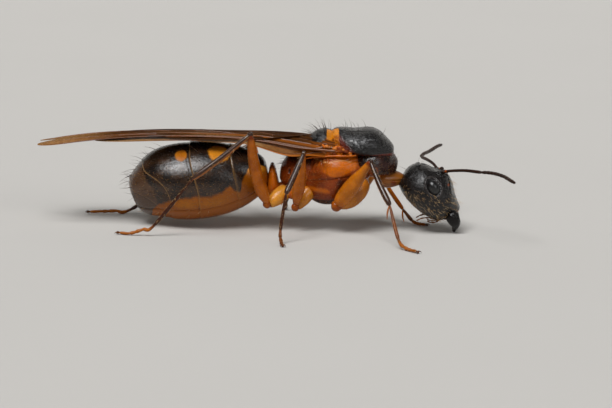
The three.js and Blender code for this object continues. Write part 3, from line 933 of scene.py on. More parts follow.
def build_feeler(name, side):
    socket = on_side(SOCKET, side)
    shaft = centre_line("scape_" + name, socket, (0.12, 0.35, 0.6, 0.97))
    shaft[:, 2] -= (0.11, 0.12, 0.1, 0.065)
    shaft = np.concatenate([[socket], shaft])
    rings, u, heading = tube(shaft, [0.07, 0.066, 0.068, 0.072, 0.076, 0.08], rows=60, around=24, blunt=0.25)
    knob = tube([socket + (socket - shaft[1]) * 0.1, socket, socket + unit(shaft[1] - socket) * 0.13],
                [0.08, 0.1, 0.075], rows=20, around=24, blunt=0.5)[0]
    parts = [skinned("shaft", rings, {"glow": ease(0.13, 0.07, u)[:, None]}, heading),
             skinned("knob", knob, {"glow": 0.35}, heading[0, 0])]
    settle(joined("scape_" + name, parts), "feeler", "brown_shell", "scape_" + name)

    whip = centre_line("funiculus_" + name, shaft[-1], (0.03, 0.2, 0.4, 0.6, 0.8, 0.985))
    whip[:3, 2] -= (0.035, 0.03, 0.01)
    whip = np.concatenate([[shaft[-1] + unit(shaft[-2] - shaft[-1]) * 0.05], whip])
    first = 0.115  # the first joint is the longest
    breaks = np.concatenate([[0, first], first + (1 - first) * (np.arange(1, 11) / 10) ** 0.97])
    rings, u, heading = tube(whip, segmented(breaks, 0.072, 0.082, 1.02), rows=190, around=20)
    glow = 0.35 * ease(0.02, 0, u % 0.0885)[:, None]
    piece = skinned("funiculus_" + name, rings, {"glow": glow}, heading)
    settle(piece, "feeler", "brown_shell", "funiculus_" + name)
    hairs("feeler_down_" + name, piece, "bristle", 260, 0.07, 0.008, 0.75, joints=1)


# ------------------------------------------------------------------ thorax and petiole

NECK = dict(spine=[[3.25, 2.45], [4.5, 2.42]], up=[0.5, 0.42, 0.3], down=[0.5, 0.42, 0.3],
            half=[0.95, 0.62, 0.36])
PRONOTUM = dict(spine=[[2.1, 3.3], [3.1, 3.1], [4.1, 2.84]], up=[0.75, 0.95, 0.75], down=[0.4, 0.6, 0.4],
                half=[1.3, 1.36, 0.72])
SCUTUM = dict(spine=[[0.92, 4.0], [1.98, 3.85], [2.98, 3.74], [3.94, 3.6]], up=[1.0, 0.89, 1.01, 0.6],
              down=[0.3, 0.24, 0.2, 0.2], half=[1.05, 1.36, 1.32, 0.85], blunt=0.42, square=0.86)
SCUTELLUM = dict(spine=[[0.02, 4.0], [1.3, 4.2]], up=[0.42, 0.56, 0.56], down=[0.4, 0.42, 0.4],
                 half=[0.7, 0.92, 0.85])
METANOTUM = dict(spine=[[-0.28, 3.6], [0.3, 3.68], [1.3, 3.6]], up=[0.2, 0.24, 0.24], down=[0.3, 0.3, 0.3],
                 half=[0.85, 1.05, 1.1])
FLANK = dict(spine=[[-0.35, 2.7], [0.8, 2.55], [1.95, 2.85], [3.0, 3.1]], up=[1.0, 1.5, 1.15, 0.7],
             down=[0.95, 1.42, 1.08, 0.7], half=[1.05, 1.4, 1.4, 1.0], square=0.85)
PROPODEUM = dict(spine=[[-1.1, 2.1], [-0.45, 2.62], [0.5, 2.9]], up=[0.42, 0.88, 0.95],
                 down=[0.5, 1.0, 1.1], half=[0.6, 1.0, 1.1], blunt=0.42)
GLAND = [[-0.95, 0.62, 1.72], [-0.5, 0.78, 1.75], [0.1, 0.85, 1.85]]
PETIOLE = dict(spine=[[-1.42, 1.42], [-1.52, 2.1], [-1.6, 3.02]], up=[0.42, 0.3, 0.16],
               down=[0.38, 0.26, 0.16], half=[0.5, 0.72, 0.62])
STALK = [[-0.75, 0, 1.95], [-1.3, 0, 1.78], [-1.75, 0, 1.9], [-2.25, 0, 2.05]]


def build_neck():
    neck = Shell(**NECK, rows=50, around=80)
    x, _, z = neck.xyz
    # The neck is painted as shaded: deep dims all of it, where it lies in the head's shade, and shade paints
    # a dark spot as the shade of a hollow that the mesh does not have.
    shade = hump(3.98, 0.14, x) * hump(2.28, 0.16, z)
    neck.raise_by(-0.03 * hump(95, 5, neck.degrees))
    return neck.piece("neck", "amber", "amber_shell", "neck", shade=shade, glow=1.0, deep=0.9)


def build_pronotum():
    """The collar in front: black above, tan below, with a raised front rim."""
    front = Shell(**PRONOTUM, rows=90, around=140)
    x, _, z = front.xyz
    glow = edge(3.12 - z, 0, 0.15) * ease(3.45, 3.05, x)
    tan = 0.9 * edge(2.72 - z, 0, 0.1)
    groove = 0.03 * hump(2.6 + 0.5 * (z - 3.0), 0.05, x) * ease(3.5, 3.2, z)
    front.raise_by(0.03 * hump(3.75, 0.12, x) - groove)
    return front.piece("pronotum", "collar", "rust_shell", "pronotum", glow=np.maximum(glow, tan))


def build_scutum():
    """The big back plate: furrows along it, amber rear corners and a red lower rim."""
    back = Shell(**SCUTUM, rows=110, around=170)
    x, y, z = back.xyz
    side = np.abs(y)
    furrow = hump(0, 0.03, y) * ease(2.6, 2.9, x) * ease(3.9, 3.6, x)
    furrow = furrow + hump(0.62 + 0.12 * (x - 2), 0.03, side) * ease(1.3, 1.5, x) * ease(2.9, 2.6, x)
    low_rim = ease(3.72, 3.67, z)
    back.raise_by(-0.022 * furrow + 0.02 * low_rim * ease(1.3, 1.7, x))
    glow = edge(1.45 - x - 0.1 * (z - 4.2), 0, 0.1) * ease(0.12, 0.25, side)
    corner = ease(0.16, -0.16, x - 1.42 - 0.95 * (4.5 - z)) * ease(4.62, 4.45, z) * ease(0.6, 0.8, side)
    red = np.minimum(0.8 * corner + 0.8 * low_rim, 1)
    return back.piece("scutum", "scutum", "black_shell", "scutum", glow=glow, rim=red)


def build_scutellum():
    shield = Shell(**SCUTELLUM, rows=60, around=110)
    x, y, z = shield.xyz
    glow = edge(x - 0.86 - 0.2 * ease(4.35, 3.95, z), 0, 0.06) * ease(0.12, 0.25, np.abs(y))
    return shield.piece("scutellum", "scutum", "black_shell", "scutellum", glow=glow,
                        rim=0.8 * ease(3.95, 3.75, z))


def build_metanotum():
    """The narrow strap behind and under the scutellum."""
    strap = Shell(**METANOTUM, rows=40, around=90)
    return strap.piece("metanotum", "rust", "rust_shell", "scutellum", shade=0.8 * hump(0, 0.5, strap.xyz[1]))


def build_upper_side():
    """The side above its slanting suture: a swollen amber boss, ribs behind it, and a pale line along its
    upper part that is a painted highlight.
    """
    plate = Shell(**FLANK, rows=110, around=170)
    x, y, z = plate.xyz
    kept = ease(-0.05, 0.0, z - (2.5 + 0.16 * (x - 0.8)))
    boss = hump(1.38, 0.55, x) * hump(2.98 + 0.1 * (x - 1.3), 0.33, z) * ease(0.6, 1.0, np.abs(y))
    ribs = 0.03 * np.sin(x * 38 + 3 * np.sin(z * 7)) * ease(1.3, 0.8, x) * ease(2.6, 2.9, z)
    ribs = ribs + 0.018 * np.sin(z * 40 + 4 * np.sin(x * 5)) * ease(3.1, 3.4, z)
    furrow = 0.04 * hump(0.78 - 0.35 * (z - 3), 0.05, x) * ease(2.6, 2.75, z)
    plate.raise_by(0.13 * kept - 0.13 + 0.015 + 0.07 * boss + ribs - furrow)
    glow = 1.1 * ease(0.05, 0.75, boss) + 0.4 * ease(2.7, 3.1, z) * ease(0.0, 0.5, x)
    glow = glow + hump(2.06, 0.12, x) * ease(2.9, 3.1, z) + 0.7 * hump(1.6, 0.5, x) * ease(3.4, 3.6, z)
    shade = 0.55 * hump(0.35, 0.4, x) * hump(2.7, 0.16, z) + 0.35 * hump(0.9, 0.3, x) * hump(3.1, 0.2, z)
    # A pale line along the upper part, in the rim colour: a painted highlight, with no raised edge under it.
    painted_ridge_highlight = hump(3.34 + 0.05 * np.sin(x * 5), 0.022, z) * ease(-0.1, 0.2, x) * ease(2.1, 1.9, x)
    return plate.piece("anepisternum", "rust", "amber_shell", "mesopleuron", glow=np.minimum(glow, 1),
                       shade=shade, rim=0.8 * painted_ridge_highlight)


def build_lower_side():
    """The side below the suture, darker towards the belly."""
    plate = Shell(**FLANK, rows=110, around=170)
    x, _, z = plate.xyz
    kept = ease(-0.07, -0.01, 2.5 + 0.16 * (x - 0.8) - z)
    plate.raise_by(0.13 * kept - 0.13 + 0.04 * hump(0.7, 0.6, x) * hump(1.9, 0.45, z))
    # The narrow orange band low on the plate is a painted highlight.
    glow = 0.75 * hump(2.0 - 0.12 * (x - 0.6), 0.16, z) * ease(-0.2, 0.1, x) * ease(1.3, 0.9, x)
    shade = ease(1.65, 1.4, z) + 0.9 * hump(1.65, 0.35, x) * ease(2.7, 2.4, z)
    return plate.piece("katepisternum", "rust", "amber_shell", "mesopleuron", glow=glow,
                       shade=np.minimum(shade, 1))


def build_propodeum():
    """The sloping rear of the thorax, with its breathing slits and two seams."""
    rear = Shell(**PROPODEUM, rows=90, around=140)
    x, y, z = rear.xyz
    side = np.abs(y)
    on_flank = ease(0.3, 0.5, side)
    slit = np.hypot((x + 0.8) / 0.07, (z - 2.78) / 0.14)
    breath = 0.035 * hump(1.25, 0.25, slit) - 0.06 * ease(1.0, 0.5, slit)
    seam = hump(0.05 + 0.35 * (z - 2.4), 0.05, x) * ease(0.4, 0.6, side)
    low_seam = hump(2.05 + 0.5 * (x + 0.6), 0.045, z) * on_flank
    rear.raise_by(breath * on_flank - 0.035 * seam - 0.03 * low_seam)
    shade = np.maximum(edge(z + 0.45 * side, 3.52, 0.16), ease(1.0, 0.6, slit) * on_flank)
    glow = 0.9 * hump(-0.3, 0.55, x) * hump(2.25, 0.6, z)
    return rear.piece("propodeum", "rust", "rust_shell", "propodeum", shade=shade, glow=glow)


def build_glands():
    """The swellings low on both sides of the thorax's rear."""
    bulges = []
    for _, side in SIDES:
        rings = tube(on_side(GLAND, side), [0.22, 0.3, 0.26], rows=30, around=32, blunt=0.5)[0]
        bulges.append(skinned("gland", rings, {"glow": 0.5}, (-1, 0, 0)))
    settle(joined("metapleuron", bulges), "rust", "rust_shell", "propodeum")


def build_petiole():
    """The waist's upright scale, notched at its top, and the stalk through its foot."""
    scale = Shell(**PETIOLE, rows=60, around=80)
    _, y, z = scale.xyz
    scale.rings[..., 2] -= 0.1 * hump(0, 0.2, y) * ease(2.7, 3.1, z)
    _, y, z = scale.xyz
    piece = scale.piece("petiole", "rust", "rust_shell", "petiole", lie=(-0.4, 0, 1),
                        glow=0.75 * ease(3.0, 2.7, z), shade=0.45 * hump(0, 0.2, y) * ease(2.2, 2.8, z))
    stalk = tube(STALK, [0.4, 0.3, 0.3, 0.34], rows=40, around=40, blunt=0.5)[0]
    settle(skinned("petiole_stalk", stalk, {"glow": 0.4}), "rust", "rust_shell", "petiole")
    return piece


def build_thorax():
    made = {"neck": build_neck(), "pronotum": build_pronotum(), "scutum": build_scutum(),
            "scutellum": build_scutellum()}
    build_metanotum()
    made.update(anepisternum=build_upper_side(), katepisternum=build_lower_side(),
                propodeum=build_propodeum())
    build_glands()
    made["petiole"] = build_petiole()
    for name, side in SIDES:
        build_wing_base(name, side)
    return made


TEGULA = dict(spine=[[1.22, 4.0], [1.74, 3.86]], up=[0.12, 0.16, 0.14], down=[0.12, 0.16, 0.13],
              half=[0.1, 0.12, 0.1], aside=1.32)
HINGE_PLATES = 26
# The folds of skin under the wing's root: each line's points, and its radius.
WING_FOLDS = (([[0.35, 1.2, 3.5], [1.1, 1.32, 3.6], [1.9, 1.36, 3.62], [2.25, 1.3, 3.66]], 0.055),
              ([[-0.1, 1.12, 3.42], [0.5, 1.2, 3.56], [1.3, 1.28, 3.74]], 0.06))


def build_wing_base(name, side):
    """The scale over the wing's root, and the small hard plates that the wing turns on."""
    cover = Shell(**TEGULA, rows=30, around=44, side=side)
    x = cover.xyz[0]
    cover.piece("tegula_" + name, "rust", "rust_shell", "tegula_" + name, glow=hump(1.3, 0.2, x),
                shade=0.5 * ease(1.55, 1.7, x))
    chance = np.random.default_rng(5)
    plates = []
    for index in range(HINGE_PLATES):
        x = 0.72 + 1.35 * (index + chance.uniform(-0.4, 0.4)) / HINGE_PLATES
        z = 3.97 - 0.16 * (x - 0.7) + chance.uniform(-0.2, 0.14)
        length, size = chance.uniform(0.14, 0.3), chance.uniform(0.045, 0.085)
        turn = chance.uniform(-1.0, 0.7)
        half = np.array([math.cos(turn), 0.1, math.sin(turn)]) * length / 2
        middle = np.array([x, 1.2 + 0.06 * chance.uniform(-1, 1) + 0.12 * ease(3.6, 3.9, z), z])
        rings = tube(on_side([middle - half, middle + (0, 0.03, 0), middle + half], side),
                     [size * 0.7, size, size * 0.6], rows=14, around=16, blunt=0.5)[0]
        marks = {"glow": chance.choice([0.0, 0.8, 0.8]), "rim": chance.choice([0.0, 0.3])}
        plates.append(skinned("plate", rings, marks))
    for line, size in WING_FOLDS:
        rings = tube(on_side(line, side), [size * 0.6, size, size * 0.6], rows=30, around=16)[0]
        plates.append(skinned("fold", rings, {"glow": 0.6}))
    settle(joined("wing_hinge_" + name, plates), "rust", "rust_shell", "tegula_" + name)


# ------------------------------------------------------------------ gaster

GASTER = dict(spine=[[-8.0, 1.38], [-6.52, 1.98], [-4.98, 2.1], [-3.43, 2.3], [-1.79, 2.6]],
              up=[1.2, 1.68, 1.78, 1.66, 1.3], down=[1.72, 1.82, 1.78, 1.66, 1.3],
              half=[1.3, 1.8, 1.88, 1.72, 1.3])
# The plates are numbered from the front. Where each one's rear rim lies along the gaster: at the
# top, then at the side. Number 0 stands for the front end.
RIMS = {5: (0.0, 0.0), 4: (0.03, 0.17), 3: (0.15, 0.285), 2: (0.435, 0.5), 1: (0.755, 0.775), 0: (1.0, 1.0)}
# Between which degrees from the top a rim slants from its top place to its side place.
SLANTS = {4: (70, 130), 3: (40, 112)}
USUAL_SLANT = (35, 108)
PALE_RIM = {5: 0.0, 4: 0.85, 3: 0.9, 2: 0.5, 1: 0.3}
# The edge of the amber belly, in degrees from the top, at places along the gaster.
BELLY = [(0.0, 172), (0.06, 160), (0.11, 128), (0.17, 118), (0.335, 110), (0.41, 107), (0.515, 105),
         (0.595, 107), (0.675, 104), (0.74, 95), (0.757, 103), (0.79, 111), (0.805, 110), (0.82, 94),
         (0.86, 78), (0.885, 66), (0.92, 60), (1.0, 56)]
# Orange spots: place and half length along the gaster, then place and half width in degrees.
SPOTS = ((0.683, 0.076, 36, 18), (0.385, 0.040, 38.5, 11))
TUCK = 0.035  # how far a plate runs on under the one ahead of it
FOLD = 130  # degrees from the top to the fold between back plates and belly plates
GASTER_AROUND = 168


def rim_at(index, degrees):
    top, side = RIMS[index]
    return top + (side - top) * ease(*SLANTS.get(index, USUAL_SLANT), degrees)


def gaster_marks(index, kind, u, t, degrees):
    """A plate's markings, at places u along the gaster, t along the plate and in degrees from the
    top."""
    glow = edge(degrees - np.interp(u, *zip(*BELLY)), 0, 9)
    rim = PALE_RIM[index] * ease(0.06, 0.02, t)
    if kind == "sternite":
        glow = glow * ease(0.05, 0.1, u)
        rim = rim * 0.4
    else:
        for at, wide, middle, spread in SPOTS:
            spot = 1 - np.hypot((u - at) / wide, (degrees - middle) / spread)
            glow = np.maximum(glow, edge(spot, 0, 0.45))
    glow = np.maximum(glow, 0.35 * ease(0.0022, 0.0, u))
    # shade browns the lower flanks as a painted reflection of the floor, and the rear partly as its own
    # colour and partly as painted sheen of its hairs.
    shade = 0.42 * ease(66, 92, degrees) * ease(0.74, 0.6, u) + ease(0.2, 0.1, u)
    shade = np.minimum(shade * (1 - ease(0.2, 0.6, glow)), 1)
    # Two painted pools of light lighten the belly's amber. deep darkens the rest of the belly as painted
    # shade, and dims the smaller spot, whose own colour is duller.
    painted_light_pools = hump(119, 8, degrees) * (hump(0.41, 0.07, u) + hump(0.61, 0.09, u))
    deep = np.maximum(ease(70, 85, degrees), 0.8 * hump(0.385, 0.06, u)) * (1 - 0.45 * painted_light_pools)
    return dict(glow=glow, shade=shade, rim=rim, deep=deep)


def build_gaster_plate(index, kind):
    """One back plate (tergite) or belly plate (sternite). Its rear rim lies on the plate behind,
    and its front runs on under the plate ahead."""
    around = int(GASTER_AROUND * FEWER)
    angle = np.arange(around) * 2 * np.pi / around
    degrees = np.degrees(np.minimum(angle, 2 * np.pi - angle))[None, :]
    start, stop = rim_at(index, degrees), rim_at(index - 1, degrees) + (TUCK if index > 1 else 0)
    shell = Shell(**GASTER, start=start, stop=stop, rows=64, around=GASTER_AROUND)
    t = shell.t
    kept = ease(FOLD + 2.5, FOLD - 2.5, shell.degrees)
    lie_over, bury = 0 * t, 0 * t
    if index < 5:
        lie_over = 0.035 * ease(0.0, 0.03, t) - 0.045 * ease(0.0, 1.0, t)
        bury = bury - 0.12 * ease(0.02, 0.0, t)
    tucked = -0.05 * ease(0.86, 1.0, t) if index > 1 else 0 * t
    ring = -0.012 * hump(0.86, 0.02, t) if index > 1 else 0 * t
    if kind == "sternite":
        kept = 1 - kept
        lie_over, tucked, bury = 0.12 * lie_over, 0.3 * tucked, 0.4 * bury
    shell.raise_by(lie_over + tucked + bury + ring - 0.14 * (1 - kept))
    slot = "brown_shell" if index > 2 else "black_shell"
    return shell.piece(f"{kind}_{index}", "gaster", slot, f"gaster_{index}",
                       **gaster_marks(index, kind, shell.u, t, shell.degrees))


def build_gaster():
    return {f"{kind}_{index}": build_gaster_plate(index, kind)
            for index in range(5, 0, -1) for kind in ("tergite", "sternite")}


# ------------------------------------------------------------------ legs

# The foot's points beyond the shin: how far forwards and outwards of the ankle, and the height.
FEET = {
    "front_right": [[0.4, 0.95, 0.42], [0.73, 1.4, 0.12], [1.21, 2.0, 0.09]],
    "mid_right": [[-0.2, 0.35, 0.65], [-0.16, 0.62, 0.17], [-0.09, 1.1, 0.09]],
    "hind_right": [[-1.68, -0.2, 0.51], [-2.18, -0.25, 0.3], [-2.76, -0.3, 0.1], [-3.27, -0.4, 0.1]],
    "front_left": [[0.42, -0.4, 0.2], [0.68, -0.6, 0.1], [1.05, -0.75, 0.08]],
    "mid_left": [[-0.15, 0.25, 0.47], [-0.2, 0.5, 0.15], [-0.2, 1.0, 0.09]],
    "hind_left": [[-2.43, -0.5, 0.22], [-3.16, -0.75, 0.17], [-3.86, -0.8, 0.13], [-4.36, -0.9, 0.12]],
}
COXA = {"front": [0.36, 0.55, 0.55, 0.3], "mid": [0.36, 0.35, 0.22], "hind": [0.36, 0.37, 0.23]}
FEMUR = {
    "front": [0.31, 0.36, 0.37, 0.31, 0.2, 0.15],
    "mid": [0.12, 0.25, 0.3, 0.26, 0.16, 0.13],
    "hind": [0.2, 0.3, 0.29, 0.255, 0.2, 0.135],
}
# How far a thigh's lower and upper thirds swell backwards.
THIGH_BOW = {"front": (0.0, 0.0), "mid": (0.0, 0.0), "hind": (-0.16, -0.13)}
SHIN = [0.1, 0.115, 0.128, 0.136, 0.142, 0.13]
# How much honey each leg's hip and thigh show, amber its shin and foot.
HIP_GLOW = {"front": 0.0, "mid": 0.4, "hind": 0.8}
THIGH_GLOW = {"front": 0.55, "mid": 0.1, "hind": 0.1}
SHIN_GLOW = {"front": 0.95, "mid": 0.6, "hind": 0.95}
FOOT_GLOW = {"front": 0.9, "mid": 0.3, "hind": 0.9}
FOOT_JOINTS = np.array([0.32, 0.53, 0.68, 1.0])  # where the joints after the first one end
CLAW = [0.032, 0.026, 0.018, 0.007]
# A claw's line from the foot's end: ahead, aside and up.
CLAW_PATH = [(-0.04, 0, 0), (0.06, 0.07, 0.03), (0.15, 0.11, 0), (0.18, 0.1, -0.05)]


def sideness(rings):
    """How far each point of a limb faces sideways. Where this is small, along a limb's upper and lower edges,
    hips and thighs get painted shade, standing for the darker edges of a translucent limb.
    """
    return np.abs(unit(rings - rings.mean(1, keepdims=True))[..., 1])


class Leg:
    """One leg. Its joints are where the middle lines of its solids meet."""

    def __init__(self, place, name, side):
        self.place, self.label = place, f"{place}_{name}"
        coxa = centre_line("coxa_" + self.label, (1, 0, 3.5), (0.35, 0.7))
        thigh = centre_line("femur_" + self.label, coxa[-1], (0.3, 0.7))
        shin = centre_line("tibia_" + self.label, thigh[-1], (0.3, 0.7, 0.99))
        self.hinge = meeting(coxa, thigh)
        self.knee = meeting(thigh, shin[:2])
        self.ankle = shin[-1]
        reach = np.linalg.norm(coxa[0] - self.hinge) * 1.75
        self.hip = self.hinge + unit(coxa[0] - self.hinge) * reach
        self.foot = np.array([(self.ankle[0] + ahead, self.ankle[1] + out * side, height)
                              for ahead, out, height in FEET[self.label]])
        self.coxa_way = unit(self.hinge - self.hip)
        self.thigh_way = unit(self.knee - self.hinge)
        self.shin_way = unit(self.ankle - self.knee)
        self.out = unit(np.cross(self.thigh_way, self.shin_way))

    def piece(self, part, made, finish, slot, node):
        """Settles a leg's piece, from one mesh or from several to be joined."""
        whole = joined(f"{part}_{self.label}", made) if isinstance(made, list) else made
        return settle(whole, finish, slot, f"{node}_{self.label}")

    def build_coxa(self):
        rings, u, heading = tube([self.hip, self.hinge - self.coxa_way * 0.04], COXA[self.place], rows=50,
                                 around=36, blunt=0.5)
        u = u[:, None]
        # The hip is dark at its lower joint, with painted shade along its upper and lower edges.
        marks = {"glow": HIP_GLOW[self.place] * ease(0.0, 0.2, u),
                 "shade": np.maximum(ease(0.93, 0.99, u), 0.45 * ease(0.6, 0.1, sideness(rings)))}
        mesh = skinned("coxa_" + self.label, rings, marks, heading)
        return self.piece("coxa", mesh, "amber", "amber_shell", "coxa")

    def build_trochanter(self):
        """The short joint that turns the leg from its hip into its thigh."""
        turn = self.hinge - self.coxa_way * 0.1
        path = [turn, turn + self.coxa_way * 0.12 + self.thigh_way * 0.06, self.hinge + self.thigh_way * 0.26]
        stout = 1.45 if self.place == "front" else 1.0
        rings = tube(path, np.array([0.15, 0.185, 0.13]) * stout, rows=26, around=30, blunt=0.5)[0]
        mesh = skinned("trochanter_" + self.label, rings, {"shade": 0.5})
        return self.piece("trochanter", mesh, "femur", "amber_shell", "femur")

    def build_femur(self):
        path = np.linspace(self.hinge + self.thigh_way * 0.12, self.knee + self.thigh_way * 0.05, 4)
        path[1:3, 0] += THIGH_BOW[self.place]
        rings, u, heading = tube(path, FEMUR[self.place], rows=64, around=44, blunt=0.4)
        u = u[:, None]
        # The thigh is dark at both joints, with painted shade along its upper and lower edges.
        ends = np.maximum(edge(u, 0.93, 0.05), 0.8 * ease(0.03, 0, u))
        marks = {"glow": THIGH_GLOW[self.place] * ease(0.0, 0.2, u),
                 "shade": np.maximum(ends, 0.5 * ease(0.6, 0.1, sideness(rings)))}
        mesh = skinned("femur_" + self.label, rings, marks, heading)
        return self.piece("femur", mesh, "femur", "amber_shell", "femur")

    def build_spur(self):
        """The movable spine at the shin's end."""
        length, lean = (0.62, 0.55) if self.place == "front" else (0.5, 0.65)
        below = unit(self.foot[0] - self.ankle)
        root = self.ankle - self.shin_way * 0.05 - np.array([0, 0, 0.06]) - self.out * 0.03
        way = unit(below * 0.5 + np.array([-0.55, 0, -0.6]) * lean)
        sweep = [root, root + way * length * 0.5 + below * 0.02, root + way * length * 0.8 + below * 0.16]
        rings = tube(sweep, [0.035, 0.04, 0.012], rows=20, around=12)[0]
        return skinned("spur", rings, {"glow": 1.0}, below)

    def build_tibia(self):
        """The shin, bowed a little and amber below, with its knee cap and its spur."""
        # The far front shin is slimmer and takes the amber thigh finish, painted as if lit from behind.
        slender_painted_backlit = self.label == "front_left"
        cap = tube([self.knee - self.out * 0.08, self.knee + self.out * 0.08], [0.125, 0.125], rows=14,
                   around=26, blunt=0.5)[0]
        bow = np.cross(self.out, self.shin_way) * 0.05
        path = [self.knee - self.shin_way * 0.02, (self.knee + self.ankle) / 2 + bow, self.ankle]
        rings, u, heading = tube(path, np.array(SHIN) * (0.72 if slender_painted_backlit else 1.0), rows=64, around=32)
        below = (rings.mean(1, keepdims=True) - rings)[..., 2]
        below = below / np.maximum(np.ptp(rings[..., 2], axis=1) / 2, 0.01)[:, None]
        glow = np.maximum(0.45 * ease(0.94, 1.0, u), 0.7 * ease(0.06, 0.0, u))[:, None]
        glow = np.maximum(glow, SHIN_GLOW[self.place] * ease(0.0, 0.5, below))
        parts = [skinned("shin", rings, {"glow": glow}, heading),
                 skinned("cap", cap, {"glow": 0.3}, heading[0, 0]), self.build_spur()]
        return self.piece("tibia", parts, "femur" if slender_painted_backlit else "shin", "brown_shell", "tibia")

    def build_tarsus(self):
        """The foot: five joints, two claws and the pad between them."""
        path = np.concatenate([[self.ankle - self.shin_way * 0.03], self.foot])
        run = np.concatenate([[0], np.cumsum(np.linalg.norm(np.diff(path, axis=0), axis=1))])
        first = run[1] / run[-1]
        breaks = [0, first, *(first + (1 - first) * FOOT_JOINTS)]
        rings, u, heading = tube(path, segmented(breaks, 0.062, 0.086, 0.95), rows=190, around=20)
        in_front = self.place == "front"
        dark = (0.0 if in_front else 0.95) * ease(first + 0.06, first - 0.06, u)
        amber = np.maximum(ease(first - 0.02, first + 0.1, u), 0.42 if in_front else 0)
        marks = {"glow": (amber * FOOT_GLOW[self.place])[:, None], "shade": dark[:, None]}
        parts = [skinned("toes", rings, marks, heading)]
        end = self.foot[-1]
        way = unit((end - self.foot[-2]) * (1, 1, 0))
        across = np.array([-way[1], way[0], 0])
        for turn in (1, -1):
            claw = [end + way * ahead + across * turn * aside + (0, 0, up) for ahead, aside, up in CLAW_PATH]
            parts.append(skinned("claw", tube(claw, CLAW, rows=24, around=12)[0], {"shade": 0.55}))
        pad = tube([end - way * 0.02, end + way * 0.12 + (0, 0, -0.02)], [0.045, 0.045], rows=14, around=16,
                   blunt=0.5, flat=1.3)[0]
        parts.append(skinned("pad", pad, {"shade": 0.4}))
        return self.piece("tarsus", parts, "foot", "foot_shell", "tarsus")


def build_leg(place, name, side):
    leg = Leg(place, name, side)
    made = {"coxa": leg.build_coxa()}
    leg.build_trochanter()
    made.update(femur=leg.build_femur(), tibia=leg.build_tibia(), tarsus=leg.build_tarsus())
    return made


# ------------------------------------------------------------------ wings

# Wings are drawn by how far along they are, 0 at the root to 1 at the tip, and how far across,
# 0 at the leading edge to 1 at the trailing edge.
FOREWING = dict(
    along=[[1.25, 3.99], [-0.3, 4.06], [-2.4, 4.19], [-5.0, 4.22], [-7.4, 4.17], [-9.9, 3.98],
           [-12.32, 3.62]],
    lead=[1.42, 1.32, 1.04, 1.0, 1.1, 1.3, 1.34],
    trail=[1.2, -0.2, -1.1, -1.3, -0.8, 0.05, 0.25],
    crown=0.16, stand=0.42, droop=0.05,
)
HINDWING = dict(
    along=[[0.8, 3.76], [-0.9, 3.9], [-2.6, 4.12], [-4.3, 4.12], [-6.2, 4.08], [-9.7, 3.93]],
    lead=[1.35, 1.42, 1.32, 1.28, 1.32, 1.36],
    trail=[1.1, 0.1, -0.6, -0.8, -0.4, 0.5],
    crown=0.14, stand=0.46, droop=0.2,
)
# Each vein: its thickness, then its points as [along, across].
FORE_VEINS = [
    (0.068, [[0.0, 0.1], [0.1, 0.03], [0.3, 0.012], [0.55, 0.008], [0.62, 0.01]]),
    (0.028, [[0.62, 0.01], [0.8, 0.008], [0.93, 0.02], [0.985, 0.3]]),
    (0.06, [[0.01, 0.4], [0.12, 0.15], [0.3, 0.085], [0.5, 0.05], [0.58, 0.03]]),
    (0.055, [[0.01, 0.72], [0.12, 0.34], [0.27, 0.3], [0.36, 0.36]]),
    (0.03, [[0.36, 0.36], [0.42, 0.3], [0.44, 0.2], [0.42, 0.07]]),
    (0.03, [[0.42, 0.27], [0.5, 0.25], [0.6, 0.3], [0.63, 0.31]]),
    (0.03, [[0.61, 0.05], [0.635, 0.18], [0.63, 0.31]]),
    (0.028, [[0.635, 0.2], [0.72, 0.24], [0.82, 0.17], [0.88, 0.02]]),
    (0.024, [[0.63, 0.31], [0.75, 0.42], [0.88, 0.5], [0.97, 0.55]]),
    (0.026, [[0.36, 0.36], [0.48, 0.52], [0.62, 0.66], [0.74, 0.86]]),
    (0.026, [[0.02, 0.75], [0.15, 0.55], [0.3, 0.68], [0.42, 0.85], [0.5, 0.97]]),
    (0.024, [[0.26, 0.3], [0.275, 0.45], [0.27, 0.64]]),
]
HIND_VEINS = [
    (0.034, [[0.0, 0.4], [0.15, 0.08], [0.4, 0.02], [0.55, 0.02]]),
    (0.022, [[0.55, 0.02], [0.8, 0.02], [0.96, 0.2]]),
    (0.026, [[0.02, 0.6], [0.2, 0.3], [0.4, 0.3], [0.55, 0.25], [0.7, 0.2]]),
    (0.022, [[0.4, 0.3], [0.42, 0.5], [0.6, 0.62], [0.8, 0.75]]),
    (0.022, [[0.03, 0.8], [0.2, 0.6], [0.42, 0.5]]),
]
THICK = 0.022  # the membrane


def pleats(along, across):
    """Waves across a wing, slanting a little along it, from -1 to 1."""
    return np.sin(across * 27 + 1.2 * along)


def wing_point(wing, along, across, side, lift):
    """A place on a wing, in drawing millimetres. The wing arches over the back, its root stands on
    edge, and it is pleated lengthways."""
    along, across = np.asarray(along, float), np.asarray(across, float)
    place = smooth(wing["along"], along, extend=True)
    lead, trail = smooth(wing["lead"], along), smooth(wing["trail"], along)
    rounded = np.sqrt(np.maximum(1 - np.clip((along - 0.9) / 0.1, 0, 1) ** 2, 0))
    y = (lead + trail) / 2 + (lead - trail) / 2 * (1 - 2 * across) * (0.02 + 0.98 * rounded)
    arch = 0.6 * wing["crown"] - wing["crown"] * (np.abs(y) / 1.75) ** 1.7
    deep = 0.018 + 0.03 * ease(0.5, 0.1, along)
    pleat = deep * pleats(along, across) * ease(0.0, 0.12, along) * ease(1.0, 0.85, along)
    stand = wing["stand"] * (across - 0.5) * ease(0.45, 0.06, along)
    sag = 0.3 * ease(0.75, 0.6, along) + 0.7 * hump(0.24, 0.2, along)
    droop = wing["droop"] * sag * ease(0.05, 0.2, along) * ease(0.24, 0.0, across)
    z = place[..., 1] + arch + pleat + stand + lift - droop
    return np.stack([place[..., 0] + 0 * y, side * y, z], -1)


